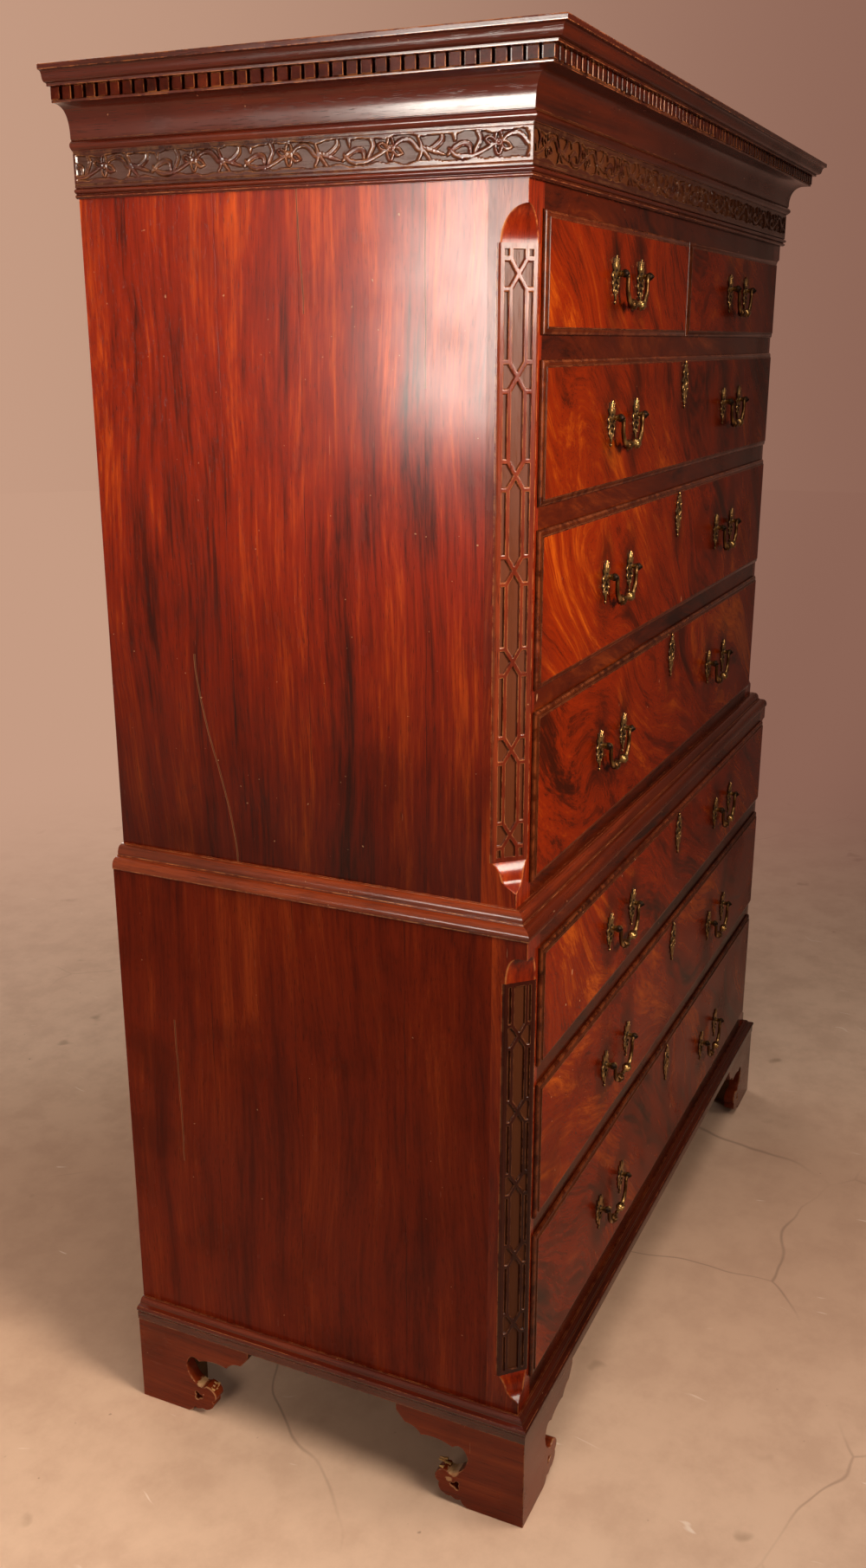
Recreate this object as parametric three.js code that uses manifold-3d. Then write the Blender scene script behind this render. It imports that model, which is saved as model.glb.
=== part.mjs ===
// Mahogany chest on chest: two stacked carcases with canted, fretted front corners, a dentil cornice,
// a frieze, waist and base mouldings, four bracket feet, eight lipped drawers and fourteen swan-neck bails.
// Millimetres, +Z up, front towards -Y. The origin is on the floor, under the middle of the outer box.
import * as THREE from 'three';
import { mergeVertices } from 'three/addons/utils/BufferGeometryUtils.js';
import Module from 'manifold-3d';

const wasm = await Module();
wasm.setup();

// Overall sizes
const totalHeight = 1830;
const upperWidth = 1230;
const upperDepth = 576;
const lowerStep = 26;

// Stages, from the top down
const corniceHeight = 86;
const friezeHeight = 40;
const astragalHeight = 12;
const topRailShow = 27;
const railShow = 26;
const upperFloorShow = 20;
const waistHeight = 30;
const lowerTopShow = 21;
const lowerFloorShow = 35;
const baseMouldingHeight = 18;
const bandHeight = 12;
const footHeight = 138;

// Drawer rows from the top row down: each row's share of the height that the rows divide between them
const upperRowShares = [128, 160, 187, 214];
const lowerRowShares = [160, 193, 219];
const shortDrawerGap = 6;

// Boards
const sideThickness = 22;
const boardThickness = 18;
const dustThickness = 10;
const backThickness = 8;
const railDepth = 22;
const upperStile = 10;
const lowerStile = 8;
const upperCant = 31;
const lowerCant = 28;
const postDepth = 46;

// Canted corners: lengths of the arched stop and the lamb's tongue, and where the stops begin
const archRise = 38;
const tongueRise = 35;
const upperArchDrop = 24;
const upperTongueLift = 18;
const lowerArchRise = 36;
const lowerArchDrop = 23;
const lowerTongueLift = 17;
const cantSteps = 6;

// Mouldings: how far each stands out from the case face
const corniceReach = 60;
const corniceBack = 20;
const friezeReach = 6;
const astragalReach = 8.5;
const waistReach = 28;
const baseReach = 18;
const bandReach = 17;
const dentilReach = 40;
const dentilGround = 34;
const dentilPitch = 16.6;
const dentilGap = 4.2;
const dentilHeight = 13.5;
const dentilDrop = 21.5;
const ledgeThickness = 3;

// Bracket feet
const footReach = 16;
const footThickness = 20;
const footWing = 190;
const backFootWing = 120;
const footBlock = 50;

// Drawers
const lipProud = 7;
const lipOverlap = 5;
const lipThumb = 3;
const frontInner = 15;
const fitGap = 0.3;
const openingGap = 1;
const runGap = 0.4;
const sideRunGap = 1.5;
const drawerSide = 10;
const drawerBottom = 6;
const drawerBottomLift = 5;
const drawerBackGap = 12;
const drawerTopDrop = 8;

// Handles and escutcheons
const handleHalf = 51;
const upperHandleX = 285;
const lowerHandleX = 290;
const lowerHandleDrops = [0, 9, 14];
const plateWidth = 28;
const plateHeight = 56;
const plateThickness = 2.5;
const postLift = 8;
const postRadius = 3.2;
const knuckleRadius = 4.5;
const knuckleReach = 13;
const knuckleSides = 8;
const bailRadius = 2.6;
const bailDrop = 35;
const bailArm = 40;
const bossRadius = 6.5;
const bossShift = 17;
const bailSides = 6;
const bailSteps = 10;
const escutcheonWidth = 30;
const escutcheonHeight = 68;
const escutcheonDrop = 6;

const overrun = 2;

// Worked-out planes and levels
const lowerWidth = upperWidth + 2 * lowerStep;
const lowerDepth = upperDepth + lowerStep;
const reachForward = Math.max(
  upperDepth + corniceReach,
  lowerDepth + lipProud + knuckleReach + bossRadius,
);
const backY = reachForward / 2;
const upperFrontY = backY - upperDepth;
const lowerFrontY = backY - lowerDepth;
const corniceZ = totalHeight - corniceHeight;
const friezeZ = corniceZ - friezeHeight;
const astragalZ = friezeZ - astragalHeight;
const baseTopZ = footHeight + bandHeight + baseMouldingHeight;
const lowerDrawersZ = baseTopZ + lowerFloorShow;
const sumOf = (list) => list.reduce((total, value) => total + value, 0);
const railsShow = railShow * (upperRowShares.length + lowerRowShares.length - 2);
const stagesShow = topRailShow + upperFloorShow + waistHeight + lowerTopShow;
const rowsSpace = astragalZ - lowerDrawersZ - railsShow - stagesShow;
const shareTotal = sumOf(upperRowShares) + sumOf(lowerRowShares);
const upperRowHeights = upperRowShares.map((share) => (rowsSpace * share) / shareTotal);
const lowerRowHeights = lowerRowShares.map((share) => (rowsSpace * share) / shareTotal);
const rowsHeight = (list) => sumOf(list) + railShow * (list.length - 1);
const upperDrawersZ = astragalZ - topRailShow - rowsHeight(upperRowHeights);
const waistTopZ = upperDrawersZ - upperFloorShow;
const upperCaseZ = waistTopZ - waistHeight;
const postWidth = (cant, stile) => cant + stile + lipOverlap;

// Finishes
const finish = (color, roughness, metalness) => new THREE.MeshStandardMaterial({ color, roughness, metalness });
const mahogany = finish(0x5a1d10, 0.28, 0);
const darkMahogany = finish(0x4a1810, 0.32, 0);
const flame = finish(0x8a3212, 0.25, 0);
const oak = finish(0xa5794a, 0.75, 0);
const brass = finish(0x9a7a3c, 0.35, 1);

const chest = new THREE.Group();

function solid(geometry) {
  const bare = geometry.clone();
  bare.deleteAttribute('normal');
  bare.deleteAttribute('uv');
  const merged = mergeVertices(bare);
  return new wasm.Manifold(new wasm.Mesh({
    numProp: 3,
    vertProperties: new Float32Array(merged.attributes.position.array),
    triVerts: new Uint32Array(merged.index.array),
  }));
}

function add(name, body, material) {
  const { numProp, vertProperties, triVerts } = body.getMesh();
  const geometry = new THREE.BufferGeometry();
  geometry.setAttribute('position', new THREE.BufferAttribute(new Float32Array(vertProperties), numProp));
  geometry.setIndex(new THREE.BufferAttribute(new Uint32Array(triVerts), 1));
  geometry.computeVertexNormals();
  const mesh = new THREE.Mesh(geometry, material);
  mesh.name = name;
  chest.add(mesh);
}

const joined = (bodies) => bodies.reduce((all, body) => all.add(body));

// A plain board between two corners
function board(x0, x1, y0, y1, z0, z1) {
  const geometry = new THREE.BoxGeometry(x1 - x0, y1 - y0, z1 - z0);
  geometry.translate((x0 + x1) / 2, (y0 + y1) / 2, (z0 + z1) / 2);
  return solid(geometry);
}

// A prism whose every point is moved by a rule: u and v in the outline, k along its steps.
// Where the rule mirrors the prism, its triangles are turned over so that they still face out.
function movedPrism(shape, steps, curveSegments, rule) {
  const geometry = new THREE.ExtrudeGeometry(shape, { depth: steps, steps, curveSegments, bevelEnabled: false });
  const position = geometry.attributes.position;
  for (let i = 0; i < position.count; i += 1) {
    const [x, y, z] = rule(position.getX(i), position.getY(i), Math.round(position.getZ(i)));
    position.setXYZ(i, x, y, z);
  }
  const body = solid(geometry);
  if (body.volume() > 0) {
    return body;
  }
  for (let i = 0; i < position.count; i += 3) {
    const [x, y, z] = [position.getX(i), position.getY(i), position.getZ(i)];
    position.setXYZ(i, position.getX(i + 1), position.getY(i + 1), position.getZ(i + 1));
    position.setXYZ(i + 1, x, y, z);
  }
  return solid(geometry);
}

// A moulding mitred round the left side, the front and the right side of a case.
// The profile runs outwards from the case face (u) and upwards from z0 (v).
function mitredFrame(profile, halfWidth, frontY, z0, curveSegments) {
  return movedPrism(profile, 3, curveSegments, (u, v, k) => {
    const x = (k < 2 ? 1 : -1) * (halfWidth + u);
    const y = k === 1 || k === 2 ? frontY - u : backY;
    return [x, y, z0 + v];
  });
}

// Profiles of the mouldings, in shares of their reach and height
function corniceProfile() {
  const lineShares = { bead: 0.24, neck: 0.14, cove: 0.54, ledge: 0.64, lip: 0.76, cyma: 0.95 };
  const levelShares = { bead: 0.085, neck: 0.14, cyma: 0.93 };
  const r = corniceReach;
  const h = corniceHeight;
  const dentilTop = h - dentilDrop;
  const dentilFoot = dentilTop - dentilHeight;
  const coveTop = dentilFoot - ledgeThickness;
  const s = new THREE.Shape();
  s.moveTo(-corniceBack, 0);
  s.lineTo(r * lineShares.neck, 0);
  s.quadraticCurveTo(r * lineShares.bead, h * levelShares.bead, r * lineShares.neck, h * levelShares.neck);
  s.quadraticCurveTo(r * lineShares.neck, coveTop, r * lineShares.cove, coveTop);
  s.lineTo(r * lineShares.ledge, coveTop);
  s.lineTo(r * lineShares.ledge, dentilFoot);
  s.lineTo(dentilGround, dentilFoot);
  s.lineTo(dentilGround, dentilTop);
  s.lineTo(r * lineShares.lip, dentilTop);
  s.lineTo(r * lineShares.lip, dentilTop + ledgeThickness);
  s.quadraticCurveTo(r * lineShares.cyma, dentilTop + ledgeThickness, r * lineShares.cyma, h * levelShares.cyma);
  s.lineTo(r, h * levelShares.cyma);
  s.lineTo(r, h);
  s.lineTo(-corniceBack, h);
  s.closePath();
  return s;
}

function astragalProfile() {
  const s = new THREE.Shape();
  const h = astragalHeight;
  const lowShare = 0.42;
  const innerShare = 0.5;
  s.moveTo(0, 0);
  s.lineTo(astragalReach * innerShare, 0);
  s.quadraticCurveTo(astragalReach, h * lowShare / 2, astragalReach * innerShare, h * lowShare);
  s.quadraticCurveTo(astragalReach * (2 - innerShare), h * (1 + lowShare) / 2, astragalReach * innerShare, h);
  s.lineTo(0, h);
  s.closePath();
  return s;
}

function waistProfile() {
  const s = new THREE.Shape();
  const r = waistReach;
  const h = waistHeight;
  const outShares = [0.2, 0.5, 0.58, 0.97, 1];
  const upShares = [0, 0.1, 0.16, 0.5, 0.56, 1];
  s.moveTo(0, h * upShares[0]);
  s.lineTo(r * outShares[3], h * upShares[0]);
  s.lineTo(r * outShares[4], h * upShares[2]);
  s.quadraticCurveTo(r * outShares[3], h * upShares[3], r * outShares[2], h * upShares[3]);
  s.lineTo(r * outShares[2], h * upShares[4]);
  s.lineTo(r * outShares[1], h * upShares[4]);
  s.quadraticCurveTo(r * outShares[1], h * upShares[5], r * outShares[0], h * upShares[5]);
  s.lineTo(0, h * upShares[5]);
  s.closePath();
  return s;
}

function baseProfile() {
  const s = new THREE.Shape();
  const r = baseReach;
  const h = baseMouldingHeight;
  const outShares = [0.15, 0.4, 0.5, 0.97];
  const upShares = [0.1, 0.5, 0.6, 0.92];
  s.moveTo(0, -bandHeight);
  s.lineTo(bandReach, -bandHeight);
  s.lineTo(bandReach, 0);
  s.lineTo(r * outShares[3], h * upShares[0]);
  s.quadraticCurveTo(r * (1 + outShares[0]), h * (upShares[0] + upShares[1]) / 2, r * outShares[3], h * upShares[1]);
  s.lineTo(r * outShares[2], h * upShares[2]);
  s.quadraticCurveTo(r * outShares[1], h * upShares[3], r * outShares[0], h * upShares[3]);
  s.lineTo(r * outShares[0], h);
  s.lineTo(0, h);
  s.closePath();
  return s;
}

// The comb of dentils round three sides of the cornice, seen in plan
function dentilComb() {
  const points = [];
  const reach = dentilReach;
  const ground = dentilGround;
  const halfWidth = upperWidth / 2;
  const run = (length) => {
    const count = Math.round((length + dentilGap) / dentilPitch);
    const pitch = (length + dentilGap) / count;
    return Array.from({ length: count }, (_, i) => [i * pitch, i * pitch + pitch - dentilGap]);
  };
  const sideRun = run(upperDepth + reach);
  const frontRun = run(upperWidth + 2 * reach);
  const put = (x, y) => points.push(new THREE.Vector2(x, y));
  const left = -halfWidth - reach;
  const leftGround = -halfWidth - ground;
  sideRun.forEach(([from, to], i) => {
    put(left, backY - from);
    put(left, backY - to);
    if (i < sideRun.length - 1) {
      put(leftGround, backY - to);
      put(leftGround, backY - sideRun[i + 1][0]);
    }
  });
  const front = upperFrontY - reach;
  const frontGround = upperFrontY - ground;
  frontRun.forEach(([from, to], i) => {
    if (i > 0) {
      put(left + from, front);
    }
    if (i < frontRun.length - 1) {
      put(left + to, front);
      put(left + to, frontGround);
      put(left + frontRun[i + 1][0], frontGround);
    }
  });
  const mirrored = points.slice(0, sideRun.length * 4 - 2).map((p) => new THREE.Vector2(-p.x, p.y)).reverse();
  const inner = halfWidth + ground - overrun;
  const outline = points.concat(mirrored, [
    new THREE.Vector2(inner, backY),
    new THREE.Vector2(inner, upperFrontY - ground + overrun),
    new THREE.Vector2(-inner, upperFrontY - ground + overrun),
    new THREE.Vector2(-inner, backY),
  ]);
  const geometry = new THREE.ExtrudeGeometry(new THREE.Shape(outline), { depth: dentilHeight, bevelEnabled: false });
  geometry.translate(0, 0, totalHeight - dentilDrop - dentilHeight);
  return solid(geometry);
}

// A corner post with its outer corner canted between an arched stop and a lamb's tongue
function cornerPost(sign, halfWidth, frontY, width, cant, z0, z1, tongueZ, tongue, archZ, arch) {
  const outer = sign * halfWidth;
  const inner = sign * (halfWidth - width);
  const block = board(Math.min(outer, inner), Math.max(outer, inner), frontY, frontY + postDepth, z0, z1);
  const stations = [];
  for (let i = 0; i <= cantSteps; i += 1) {
    const t = i / cantSteps;
    stations.push([tongueZ + tongue * t, cant * (1 - Math.cos(Math.PI * t)) / 2]);
  }
  for (let i = 0; i <= cantSteps; i += 1) {
    const t = i / cantSteps;
    stations.push([archZ - arch + arch * t, cant * Math.sqrt(1 - t * t)]);
  }
  const triangle = new THREE.Shape();
  triangle.moveTo(0, 0);
  triangle.lineTo(1, 0);
  triangle.lineTo(0, 1);
  triangle.closePath();
  const cutter = movedPrism(triangle, stations.length - 1, 1, (u, v, k) => {
    const [z, depth] = stations[k];
    const size = depth + 2 * overrun;
    const a = u * size - overrun;
    const b = v * size - overrun;
    return sign < 0 ? [outer + a, frontY + b, z] : [outer - b, frontY + a, z];
  });
  return block.subtract(cutter);
}

// The fretted outline of a bracket foot, in shares of its wing and height: each row is a bend and an end
function footShape() {
  const padShare = 0.43;
  const tipShare = 0.92;
  const scrollShares = [
    [0.5, 0.16, 0.57, 0.1],
    [0.67, 0.14, 0.67, 0.29],
    [0.64, 0.41, 0.52, 0.4],
    [0.45, 0.46, 0.43, 0.62],
    [0.47, 0.78, 0.55, 0.68],
    [0.68, 0.76, 0.8, 0.71],
    [0.84, 0.8, 0.93, 0.8],
  ];
  const eyeShares = [[0.48, 0.26], [0.53, 0.21], [0.54, 0.3]];
  const s = new THREE.Shape();
  s.moveTo(0, 0);
  s.lineTo(footWing * padShare, 0);
  scrollShares.forEach(([bendX, bendZ, endX, endZ]) => {
    s.quadraticCurveTo(footWing * bendX, footHeight * bendZ, footWing * endX, footHeight * endZ);
  });
  s.lineTo(footWing, footHeight * tipShare);
  s.lineTo(footWing, footHeight);
  s.lineTo(0, footHeight);
  s.closePath();
  const eye = new THREE.Path();
  eye.setFromPoints(eyeShares.map(([a, b]) => new THREE.Vector2(footWing * a, footHeight * b)));
  eye.closePath();
  s.holes.push(eye);
  return s;
}

// One foot: a fretted side bracket, a front bracket or a plain back bracket, and the block behind them
function bracketFoot(sign, front) {
  const outerX = lowerWidth / 2 + footReach;
  const frontFace = lowerFrontY - footReach;
  const curves = 4;
  const thick = footThickness;
  const sideStart = front ? frontFace : backY;
  const along = front ? 1 : -1;
  const sideBracket = movedPrism(footShape(), 1, curves, (u, v, k) => {
    const depth = sign * along > 0 ? k * thick : (1 - k) * thick;
    return [sign * (outerX - depth), sideStart + along * u, v];
  });
  const blockX = sign * (outerX - thick);
  const blockEnd = blockX - sign * footBlock;
  const blockStart = sideStart + along * thick;
  const block = board(
    Math.min(blockX, blockEnd),
    Math.max(blockX, blockEnd),
    Math.min(blockStart, blockStart + along * footBlock),
    Math.max(blockStart, blockStart + along * footBlock),
    0,
    footHeight,
  );
  if (front) {
    const frontBracket = movedPrism(footShape(), 1, curves, (u, v, k) => {
      const depth = sign > 0 ? (1 - k) * thick : k * thick;
      return [sign * (outerX - u), frontFace + depth, v];
    });
    return joined([sideBracket, frontBracket, block]);
  }
  const backEnd = sign * (outerX - backFootWing);
  const corner = sign * (outerX - thick);
  const backBracket = board(
    Math.min(corner, backEnd),
    Math.max(corner, backEnd),
    backY - thick,
    backY,
    0,
    footHeight,
  );
  return joined([sideBracket, backBracket, block]);
}

// A top, floor or dustboard with the rail that shows in front of it
function frontedBoard(halfOpening, halfInner, frontY, railZ0, railZ1, boardZ0, boardZ1) {
  const railBack = frontY + railDepth;
  const postBack = frontY + postDepth;
  return joined([
    board(-halfOpening, halfOpening, frontY, railBack, railZ0, railZ1),
    board(-halfOpening, halfOpening, railBack - overrun, postBack + overrun, boardZ0, boardZ1),
    board(-halfInner, halfInner, postBack, backY - backThickness, boardZ0, boardZ1),
  ]);
}

// The outline of a cast plate, in shares of its half width and half height
function plateBody(x, frontY, z, width, height) {
  const outlineShares = [[0, -1], [0.45, -0.62], [0.3, -0.36], [0.95, -0.08], [0.7, 0.3], [0.9, 0.62], [0.3, 1]];
  const points = outlineShares.map(([a, b]) => new THREE.Vector2(a * width / 2, b * height / 2));
  const mirrored = outlineShares.slice(1).map(([a, b]) => new THREE.Vector2(-a * width / 2, b * height / 2));
  const shape = new THREE.Shape(points.concat(mirrored.reverse()));
  return movedPrism(shape, 1, 1, (u, v, k) => [x + u, frontY + overrun - k * (plateThickness + overrun), z + v]);
}

// A post standing out of the drawer front, with the round knuckle that carries the bail
function handlePost(x, frontY, z) {
  const length = knuckleReach + overrun;
  const stem = new THREE.CylinderGeometry(postRadius, postRadius, length, bailSides);
  stem.translate(x, frontY + overrun - length / 2, z);
  const knuckle = new THREE.CylinderGeometry(knuckleRadius, knuckleRadius, 2 * knuckleRadius, knuckleSides);
  knuckle.rotateZ(Math.PI / 2);
  knuckle.translate(x, frontY - knuckleReach, z);
  return solid(stem).add(solid(knuckle));
}

// A swan-neck bail: in from the knuckles, down the arms and across the bottom
function bail(x, frontY, z) {
  const y = frontY - knuckleReach;
  const end = handleHalf - knuckleRadius - fitGap;
  const turn = (end + bailArm) / 2;
  const armShares = [0.12, 0.38, 0.64, 0.9];
  const inShares = [1, 1, 0.95, 0.78];
  const half = [new THREE.Vector3(end, y, z), new THREE.Vector3(turn, y, z)];
  armShares.forEach((share, i) => half.push(new THREE.Vector3(bailArm * inShares[i], y, z - bailDrop * share)));
  half.push(new THREE.Vector3(bossShift, y, z - bailDrop));
  const left = half.map((p) => new THREE.Vector3(x - p.x, p.y, p.z));
  const right = half.map((p) => new THREE.Vector3(x + p.x, p.y, p.z)).reverse();
  const path = new THREE.CatmullRomCurve3(left.concat(right), false, 'centripetal');
  const section = new THREE.Shape();
  for (let i = 0; i < bailSides; i += 1) {
    const angle = (2 * Math.PI * i) / bailSides;
    const point = [bailRadius * Math.cos(angle), bailRadius * Math.sin(angle)];
    if (i === 0) {
      section.moveTo(...point);
    } else {
      section.lineTo(...point);
    }
  }
  section.closePath();
  const wire = solid(new THREE.ExtrudeGeometry(section, { steps: bailSteps, extrudePath: path, bevelEnabled: false }));
  const bosses = [-1, 1].map((sign) => {
    const boss = new THREE.SphereGeometry(bossRadius, bailSides, bailSides - 2);
    boss.translate(x + sign * bossShift, y, z - bailDrop);
    return solid(boss);
  });
  return joined([wire, ...bosses]);
}

// A drawer front: a lipped face over the opening, its rebated back, plates, posts and an escutcheon
function drawerFront(x0, x1, z0, z1, frontY, handles, handleZ, hasLock) {
  const face = frontY - lipProud;
  const thumb = new THREE.Shape();
  thumb.moveTo(x0 + lipThumb, z0 + lipThumb);
  thumb.lineTo(x1 - lipThumb, z0 + lipThumb);
  thumb.lineTo(x1 - lipThumb, z1 - lipThumb);
  thumb.lineTo(x0 + lipThumb, z1 - lipThumb);
  thumb.closePath();
  const lip = new THREE.ExtrudeGeometry(thumb, {
    depth: lipProud - fitGap - lipThumb,
    bevelEnabled: true,
    bevelThickness: lipThumb,
    bevelSize: lipThumb,
    bevelSegments: 2,
  });
  const cheek = lipProud - fitGap - lipThumb;
  lip.rotateX(Math.PI / 2);
  lip.translate(0, frontY - fitGap, 0);
  const faceBlock = board(x0 - overrun, x1 + overrun, frontY - fitGap, frontY + lipProud + cheek, z0, z1);
  const inset = lipOverlap + openingGap;
  const inner = board(x0 + inset, x1 - inset, frontY - lipProud / 2, frontY + frontInner, z0 + inset, z1 - inset);
  const parts = [solid(lip).subtract(faceBlock), inner];
  handles.forEach((x) => {
    [-handleHalf, handleHalf].forEach((shift) => {
      parts.push(plateBody(x + shift, face, handleZ - postLift, plateWidth, plateHeight));
      parts.push(handlePost(x + shift, face, handleZ));
    });
  });
  if (hasLock) {
    const z = z1 - escutcheonDrop - escutcheonHeight / 2;
    parts.push(plateBody((x0 + x1) / 2, face, z, escutcheonWidth, escutcheonHeight));
  }
  return joined(parts);
}

// The box behind a drawer front: two sides, a back and a bottom
function drawerBox(x0, x1, z0, z1, frontY) {
  const left = x0 + lipOverlap + sideRunGap;
  const right = x1 - lipOverlap - sideRunGap;
  const low = z0 + lipOverlap + runGap;
  const high = z1 - lipOverlap - drawerTopDrop;
  const front = frontY + frontInner;
  const back = backY - backThickness - drawerBackGap;
  const bottomTop = low + drawerBottomLift + drawerBottom;
  const outer = board(left, right, front, back, low, high);
  const room = board(
    left + drawerSide,
    right - drawerSide,
    front - overrun,
    back - drawerSide,
    bottomTop,
    high + overrun,
  );
  const under = board(
    left + drawerSide,
    right - drawerSide,
    front - overrun,
    back - drawerSide,
    low - overrun,
    low + drawerBottomLift,
  );
  return outer.subtract(room).subtract(under);
}

// The upper case
const upperHalf = upperWidth / 2;
const upperPost = postWidth(upperCant, upperStile);
const upperOpening = upperHalf - upperPost;
const upperInner = upperHalf - sideThickness;
const upperHoleTop = astragalZ - topRailShow - lipOverlap;
const upperHoleFloor = upperDrawersZ + lipOverlap;

[-1, 1].forEach((sign) => {
  const word = sign < 0 ? 'left' : 'right';
  const outer = sign * upperHalf;
  const inner = sign * upperInner;
  add(`upper_${word}_side`, board(
    Math.min(outer, inner),
    Math.max(outer, inner),
    upperFrontY + postDepth,
    backY,
    upperCaseZ,
    corniceZ,
  ), mahogany);
  add(`upper_${word}_corner_post`, cornerPost(
    sign,
    upperHalf,
    upperFrontY,
    upperPost,
    upperCant,
    upperCaseZ,
    corniceZ,
    waistTopZ + upperTongueLift,
    tongueRise,
    astragalZ - upperArchDrop,
    archRise,
  ), darkMahogany);
});
add('upper_top_board', board(
  -upperInner,
  upperInner,
  upperFrontY + postDepth,
  backY - backThickness,
  corniceZ - boardThickness,
  corniceZ,
), oak);
add('upper_top_rail', board(
  -upperOpening,
  upperOpening,
  upperFrontY,
  upperFrontY + railDepth,
  upperHoleTop,
  corniceZ,
).add(board(
  -upperOpening,
  upperOpening,
  upperFrontY + railDepth - overrun,
  upperFrontY + postDepth,
  corniceZ - boardThickness,
  corniceZ,
)), mahogany);
add('upper_floor_board', frontedBoard(
  upperOpening,
  upperInner,
  upperFrontY,
  upperCaseZ,
  upperHoleFloor,
  upperHoleFloor - boardThickness,
  upperHoleFloor,
), mahogany);
add('upper_back_board', board(
  -upperInner,
  upperInner,
  backY - backThickness,
  backY,
  upperCaseZ,
  corniceZ,
), oak);

// The lower case
const lowerHalf = lowerWidth / 2;
const lowerPost = postWidth(lowerCant, lowerStile);
const lowerOpening = lowerHalf - lowerPost;
const lowerInner = lowerHalf - sideThickness;
const lowerHoleTop = upperCaseZ - lowerTopShow - lipOverlap;
const lowerHoleFloor = lowerDrawersZ + lipOverlap;

[-1, 1].forEach((sign) => {
  const word = sign < 0 ? 'left' : 'right';
  const outer = sign * lowerHalf;
  const inner = sign * lowerInner;
  add(`lower_${word}_side`, board(
    Math.min(outer, inner),
    Math.max(outer, inner),
    lowerFrontY + postDepth,
    backY,
    footHeight,
    upperCaseZ,
  ), mahogany);
  add(`lower_${word}_corner_post`, cornerPost(
    sign,
    lowerHalf,
    lowerFrontY,
    lowerPost,
    lowerCant,
    footHeight,
    upperCaseZ,
    baseTopZ + lowerTongueLift,
    tongueRise,
    upperCaseZ - lowerArchDrop,
    lowerArchRise,
  ), darkMahogany);
});
add('lower_top_board', frontedBoard(
  lowerOpening,
  lowerInner,
  lowerFrontY,
  lowerHoleTop,
  upperCaseZ,
  upperCaseZ - boardThickness,
  upperCaseZ,
), mahogany);
add('lower_floor_board', frontedBoard(
  lowerOpening,
  lowerInner,
  lowerFrontY,
  footHeight,
  lowerHoleFloor,
  lowerHoleFloor - boardThickness,
  lowerHoleFloor,
), mahogany);
add('lower_back_board', board(
  -lowerInner,
  lowerInner,
  backY - backThickness,
  backY,
  footHeight,
  upperCaseZ,
), oak);

// The mouldings
add('cornice', mitredFrame(corniceProfile(), upperHalf, upperFrontY, corniceZ, 4).add(dentilComb()), mahogany);
const friezeShape = new THREE.Shape();
friezeShape.moveTo(0, 0);
friezeShape.lineTo(friezeReach, 0);
friezeShape.lineTo(friezeReach, friezeHeight);
friezeShape.lineTo(0, friezeHeight);
friezeShape.closePath();
add('frieze', mitredFrame(friezeShape, upperHalf, upperFrontY, friezeZ, 1), darkMahogany);
add('frieze_astragal', mitredFrame(astragalProfile(), upperHalf, upperFrontY, astragalZ, 4), mahogany);
add('waist_moulding', mitredFrame(waistProfile(), upperHalf, upperFrontY, upperCaseZ, 4), mahogany);
add('base_moulding', mitredFrame(
  baseProfile(),
  lowerHalf,
  lowerFrontY,
  baseTopZ - baseMouldingHeight,
  4,
), mahogany);
[-1, 1].forEach((sign) => {
  const word = sign < 0 ? 'left' : 'right';
  add(`front_${word}_foot`, bracketFoot(sign, true), mahogany);
  add(`back_${word}_foot`, bracketFoot(sign, false), mahogany);
});

// Drawers, row by row from the top, with the dustboards between them
function longRow(prefix, number, z0, z1, frontY, half, handleX, handleDrop) {
  const name = `${prefix}_drawer_${number}`;
  const handles = [-handleX, handleX];
  const handleZ = (z0 + z1) / 2 + postLift - handleDrop;
  add(`${name}_front`, drawerFront(-half, half, z0, z1, frontY, handles, handleZ, true), flame);
  add(`${name}_box`, drawerBox(-half, half, z0, z1, frontY), oak);
  ['left', 'right'].forEach((word, i) => {
    add(`${name}_${word}_bail`, bail(handles[i], frontY - lipProud, handleZ), brass);
  });
}

function shortRow(z0, z1, half) {
  const handleZ = (z0 + z1) / 2 + postLift;
  ['left', 'right'].forEach((word, i) => {
    const x0 = i === 0 ? -half : shortDrawerGap / 2;
    const x1 = i === 0 ? -shortDrawerGap / 2 : half;
    const x = (x0 + x1) / 2;
    const name = `short_${word}_drawer`;
    add(`${name}_front`, drawerFront(x0, x1, z0, z1, upperFrontY, [x], handleZ, false), flame);
    add(`${name}_box`, drawerBox(x0, x1, z0, z1, upperFrontY), oak);
    add(`${name}_bail`, bail(x, upperFrontY - lipProud, handleZ), brass);
  });
  const dividerHalf = shortDrawerGap / 2 + lipOverlap;
  add('short_drawer_divider', board(
    -dividerHalf,
    dividerHalf,
    upperFrontY,
    backY - backThickness,
    z0 + lipOverlap,
    z1 - lipOverlap,
  ), mahogany);
}

function dustboard(name, z1, frontY, halfOpening, halfInner) {
  const railZ0 = z1 - railShow - lipOverlap;
  const top = z1 + lipOverlap;
  add(name, frontedBoard(halfOpening, halfInner, frontY, railZ0, top, top - dustThickness, top), mahogany);
}

let level = astragalZ - topRailShow;
upperRowHeights.forEach((height, row) => {
  const z0 = level - height;
  const half = upperOpening + lipOverlap;
  if (row === 0) {
    shortRow(z0, level, half);
  } else {
    longRow('upper', row, z0, level, upperFrontY, half, upperHandleX, 0);
  }
  if (row < upperRowHeights.length - 1) {
    dustboard(`upper_dustboard_${row + 1}`, z0, upperFrontY, upperOpening, upperInner);
  }
  level = z0 - railShow;
});

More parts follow.
